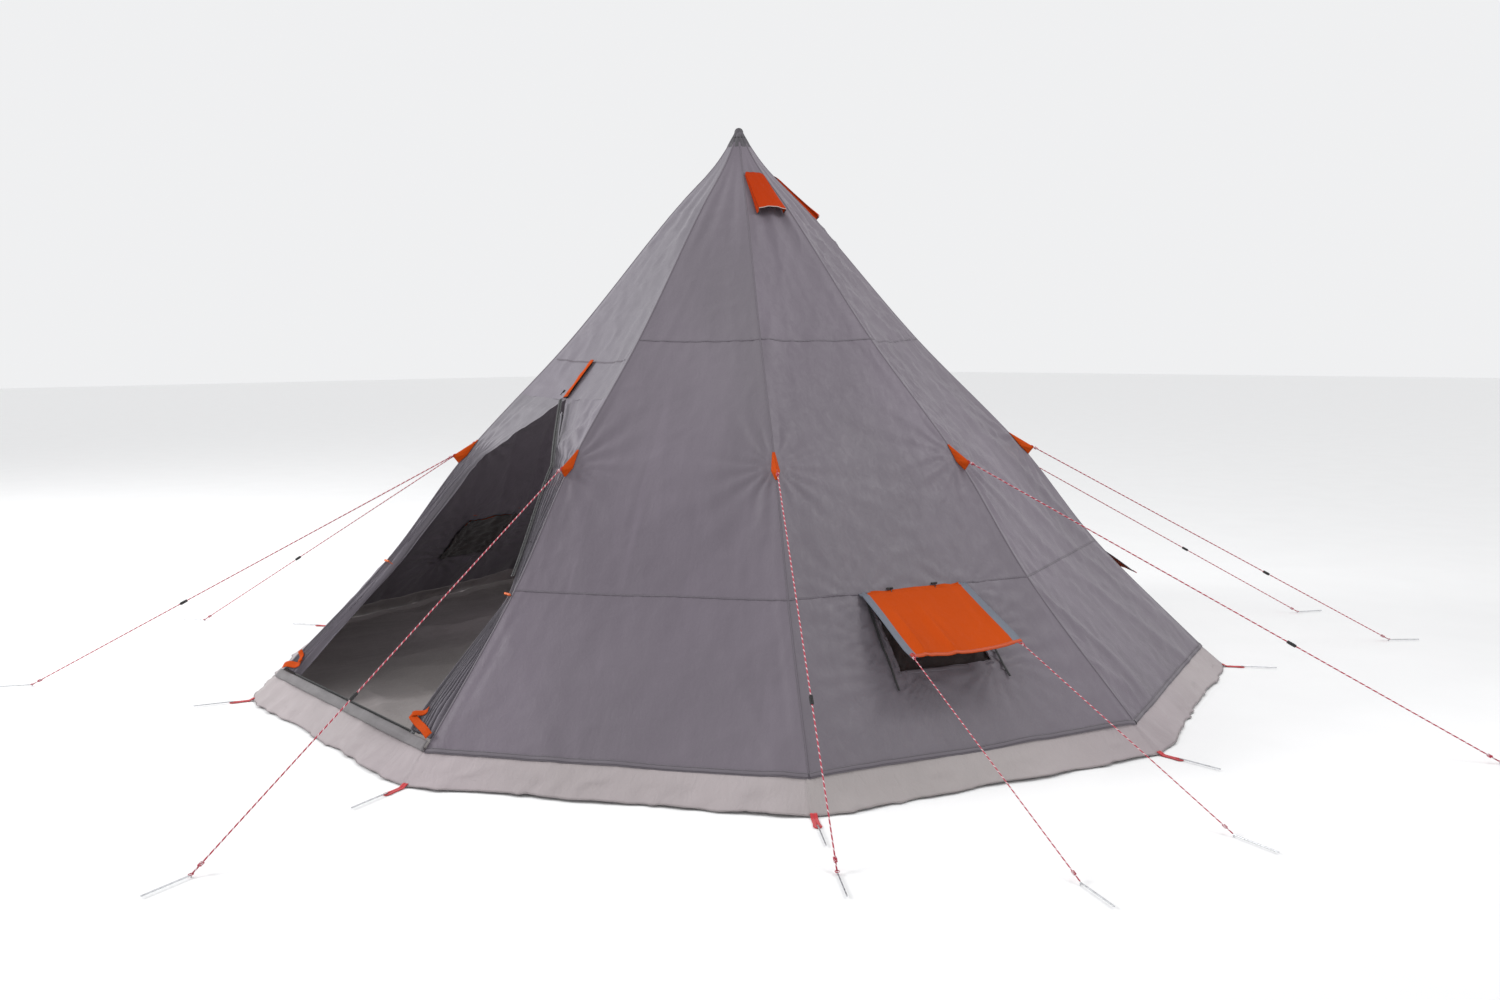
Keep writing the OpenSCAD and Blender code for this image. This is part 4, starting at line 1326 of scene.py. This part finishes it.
def make_cap():
    """Cloth and rubber cap drawn together over the pole's end, with gathers round it."""
    foot, dome = PEAK - CAP_L, PEAK - KNOB_R
    turn = full_turn(121)
    rows, places = [], []
    for level in np.linspace(foot, PEAK, 44):
        t = (level - foot) / (PEAK - foot)
        if level < dome:
            share = (level - foot) / (dome - foot)
            radius = CAP_FOOT_R * (1 - share) ** 1.1 + 0.021 * share ** 0.8
        else:
            radius = math.sqrt(max(0.0, KNOB_R**2 - (level - dome) ** 2))
        gather = 0.05 * np.cos(turn * 14 + 2.5 * t) * math.sin(math.pi * min(1, t * 1.15)) ** 0.7
        ring = max(radius, 0.0004) * (1 + gather)
        rows.append(together(ring * np.cos(turn), ring * np.sin(turn), level))
        places.append(together(turn * 0.05, level))
    stands_for(surface("peak_cap_cover", rows, places, [CAP_PLASTIC]), "peak_plastic", "peak_cap")
    line = together(CAP_CORD_R * np.cos(turn), CAP_CORD_R * np.sin(turn), PEAK - 0.050)
    joined("peak_cap_cord", [tube(line, 0.0022, 8)], BLACK_TAPE)


make_cap()

# ---------- guy lines ----------

GUY_D = 0.005
GUY_END_H = 0.009
TAB_TIP_R = float(RIDGE_R[3]) + 0.060
TAB_TIP_H = GUY_H - 0.005
TAB_LOW, TAB_HIGH = GUY_H - 0.038, GUY_H + 0.065
TIP_SHARE = (TAB_TIP_H - TAB_LOW) / (TAB_HIGH - TAB_LOW)
# A peg's turn from its ridge's bearing in degrees, and its distance from the pole
GUY_PEGS = [(0, 3.24), (0, 2.83), (14, 3.4), (12, 3.4), (-12, 3.3), *[(0, 3.2)] * 4, (-12, 3.4)]
# Pegs of the front awning's lines in wall 2's own frame: across, and outward
AWNING_PEGS = {"left": (-1, -0.270, 3.050), "right": (1, 0.395, 2.975)}


def guy_ends(j):
    """Where ridge j's line leaves its tab, and where it meets its peg."""
    turn, reach = GUY_PEGS[j]
    start = round_axis(bearing(j), TAB_TIP_R + 0.001, TAB_TIP_H - 0.0005)
    return start, round_axis(bearing(j) + math.radians(turn), reach, GUY_END_H)


def knot(start, along, turns, radius, pitch, thick):
    """Cord wound round a line."""
    t = np.linspace(0, turns, int(turns * 14) + 1)[:, None]
    side = unit(np.cross(along, [0, 0, 1.0]))
    other = np.cross(along, side)
    a = 2 * math.pi * t
    path = start + along * (t * pitch) + radius * (np.cos(a) * side + np.sin(a) * other)
    return tube(path, thick, 8)


def make_guy(name, start, end, diameter):
    """A taut line; the front awning's two ride on no body and stay where they are made."""
    t = np.linspace(0, 1, 25)[:, None]
    path = start * (1 - t) + end * t
    awning = name.startswith("awning_guy")
    made = joined(f"{name}_cord", [tube(path, diameter / 2, 12)], GUY_BRAID, ride=not awning)
    stands_for(made, "guy_cord", name)
    if awning:
        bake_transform(made)


def awning_corner(side):
    """Lower corner of the front awning, where its guy line is tied."""
    return hinge_frame(2, [side * (AWNING_W / 2 - 0.006), -AWNING_L - 0.004, 0.0], AWNING_OPEN)


def make_guys():
    """All twelve guy lines, a knot at each end and a loop round each ridge line's peg."""
    knots, awning_knots = [], []
    for j in range(SIDES):
        start, end = guy_ends(j)
        make_guy(f"guy_line_{j}", start, end, GUY_D)
        along = unit(end - start)
        knots.append(knot(start + 0.004 * along, along, 3, 0.0045, 0.0042, 0.0022))
        knots.append(knot(end - 0.045 * along, along, 4, 0.0045, 0.0042, 0.0022))
        flat = unit([along[0], along[1], 0])
        side = np.cross(flat, [0, 0, 1.0])
        knots.append(tube(ellipse(end + 0.0035 * flat, 0.0070 * flat, 0.0065 * side), 0.0018, 7))
    for side_name, (side, across, outward) in AWNING_PEGS.items():
        start = awning_corner(side)
        end = at_wall(2, [across, -outward, GUY_END_H])
        make_guy(f"awning_guy_{side_name}", start, end, GUY_D - 0.001)
        along = unit(end - start)
        knots.append(knot(end - 0.040 * along, along, 4, 0.0038, 0.0036, 0.0018))
        awning_knots.append(knot(start + 0.002 * along, along, 3, 0.0038, 0.0036, 0.0018))
    joined("guy_line_knots", knots, GUY_BRAID)
    joined("awning_guy_knots", awning_knots, GUY_BRAID, body="awning_front")


def make_tabs():
    """Orange cloth folded over each ridge into a point, with the line's loop at the tip."""
    parts, loops = [], []
    u = np.linspace(0, 1, 10)[:, None]
    for j in range(SIDES):
        tip = round_axis(bearing(j), TAB_TIP_R, TAB_TIP_H)
        point = tip - ridge_point(j, TAB_TIP_H, 0.002)
        for side in (-1, 1):
            k = j if side < 0 else (j + 1) % SIDES
            rows, places = [], []
            for t in np.linspace(0, 1, 22):
                h = TAB_LOW + (TAB_HIGH - TAB_LOW) * t
                out = 1 - abs(t - TIP_SHARE) / (TIP_SHARE if t < TIP_SHARE else 1 - TIP_SHARE)
                reach = ridge_point(j, h, 0.002) + out * point
                base = on_wall(k, side * (0.005 + 0.013 * out - float(half_w(h))), h, 0.0025)
                bulge = (0.005 * out + 0.0016 * np.sin(u * 9 + t * 30)) * np.sin(math.pi * u)
                rows.append(base * (1 - u) + reach * u + bulge * at_wall(k, [side, 0, 0]))
                places.append(together(u[:, 0] * 0.08, t * 0.2))
            parts.append(sheet_grid(rows, places))
        out = round_axis(bearing(j), 1, 0)
        loops.append(tube(ellipse(tip - 0.012 * out, 0.010 * out, [0, 0, 0.008]), 0.0022, 8))
    stands_for(joined("guy_tab_cloth", parts, ORANGE_CLOTH, thick=0.0016), "orange_cloth", "guy_tabs")
    joined("guy_tab_loops", loops, RED_TAPE)


def make_peg_loops():
    """Red webbing that leaves each corner, goes round its peg and comes back."""
    parts = []
    hole = CORNER + 0.075
    straight = np.linspace(CORNER - 0.015, hole, 16)
    turn = np.linspace(-math.pi / 2, math.pi / 2, 14)[1:-1]
    middle = 0.0062 + 0.0026 * smooth(straight, hole - 0.03, hole)
    x = np.concatenate([straight, hole + middle[-1] * np.cos(turn), straight[::-1]])
    y = np.concatenate([-middle, middle[-1] * np.sin(turn), middle[::-1]])
    z = 0.0016 + 0.010 * smooth(CORNER + 0.012 - x, 0, 0.027)
    for j in range(SIDES):
        up = np.tile([0, 0, 1.0], (len(x), 1))
        parts.append(strip(turned(x, y, z, bearing(j)), up, 0.011, 0.0008))
    made = joined("peg_loop_webbing", parts, RED_TAPE, 0.008, thick=0.0022)
    stands_for(made, "red_webbing", "peg_loops")


RUNNER_PLACE, RUNNER_L = 0.64, 0.038


def make_runners():
    """Barrel runners with ribs, one on each guy line."""
    t = np.linspace(-1, 1, 41)
    size = 0.0066 - 0.0009 * np.cos(t * 18) * (np.abs(t) < 0.85)
    round_end = np.sqrt(np.clip(1 - np.clip((np.abs(t) - 0.85) / 0.16, 0, 1) ** 2, 0.16, 1))
    for j in range(SIDES):
        start, end = guy_ends(j)
        centre = start + RUNNER_PLACE * (end - start)
        path = centre + t[:, None] * RUNNER_L / 2 * unit(end - start)
        body = f"line_runner_{j}"
        made = joined(f"{body}_barrel", [tube(path, size * round_end, 18)], PLASTIC, body=body)
        stands_for(made, "runner_plastic", body)


make_guys()
make_tabs()
make_peg_loops()
make_runners()

# ---------- CAD nodes that stay ----------

KEPT = {
    "pole_lower": POLE_METAL, "pole_middle": POLE_METAL, "pole_upper": POLE_METAL,
    "pole_foot": PLASTIC, "door_zip_slider": ZIP_METAL, "sill_zip_slider": ZIP_METAL,
    "corner_pegs": PEG_METAL, "guy_pegs": PEG_METAL,
}
for kept_name, kept_material in KEPT.items():
    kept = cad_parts[kept_name].data
    kept.materials.clear()
    kept.materials.append(kept_material)

# ---------- floor and light ----------

FLOOR = 60.0  # half width of the floor
# Each lamp's place, size in metres and power in watts
LAMPS = {
    "key": ((-6.5, -7.5, 6.0), 3.0, 620),
    "fill": ((2.6, 1.3, 4.0), 1.2, 50),
    "inside": ((0.15, 0.0, 1.35), 0.5, 15),
}


def make_stage():
    """Pale floor, even sky light and three lamps, two of them for what the sky leaves dark."""
    bpy.context.scene.view_settings.view_transform = "Standard"
    s = Shader("floor", 0.9)
    s.place = s.add("ShaderNodeTexCoord").outputs["Object"]
    s.paint(s.mix(s.noise(3, 4.0), (0.88, 0.88, 0.88, 1), (0.92, 0.92, 0.92, 1)))
    corners = [(a * FLOOR, b * FLOOR, -0.001) for a, b in ((-1, -1), (1, -1), (1, 1), (-1, 1))]
    piece("floor", corners, [(0, 1, 2, 3)], [s.material], ride=False)
    world = bpy.data.worlds.new("studio")
    world.use_nodes = True
    sky = world.node_tree.nodes["Background"]
    sky.inputs[0].default_value = (0.985, 0.99, 1.0, 1)
    sky.inputs[1].default_value = 0.88
    bpy.context.scene.world = world
    for name, (spot, size, power) in LAMPS.items():
        lamp = bpy.data.lights.new(name, "AREA")
        lamp.size = size
        lamp.energy = power
        holder = bpy.data.objects.new(name, lamp)
        holder.location = spot
        holder.visible_camera = False
        holder.rotation_euler = (Vector((0, 0, 1.0)) - Vector(spot)).to_track_quat("-Z", "Y").to_euler()
        bpy.context.scene.collection.objects.link(holder)


make_stage()

bpy.context.view_layer.update()
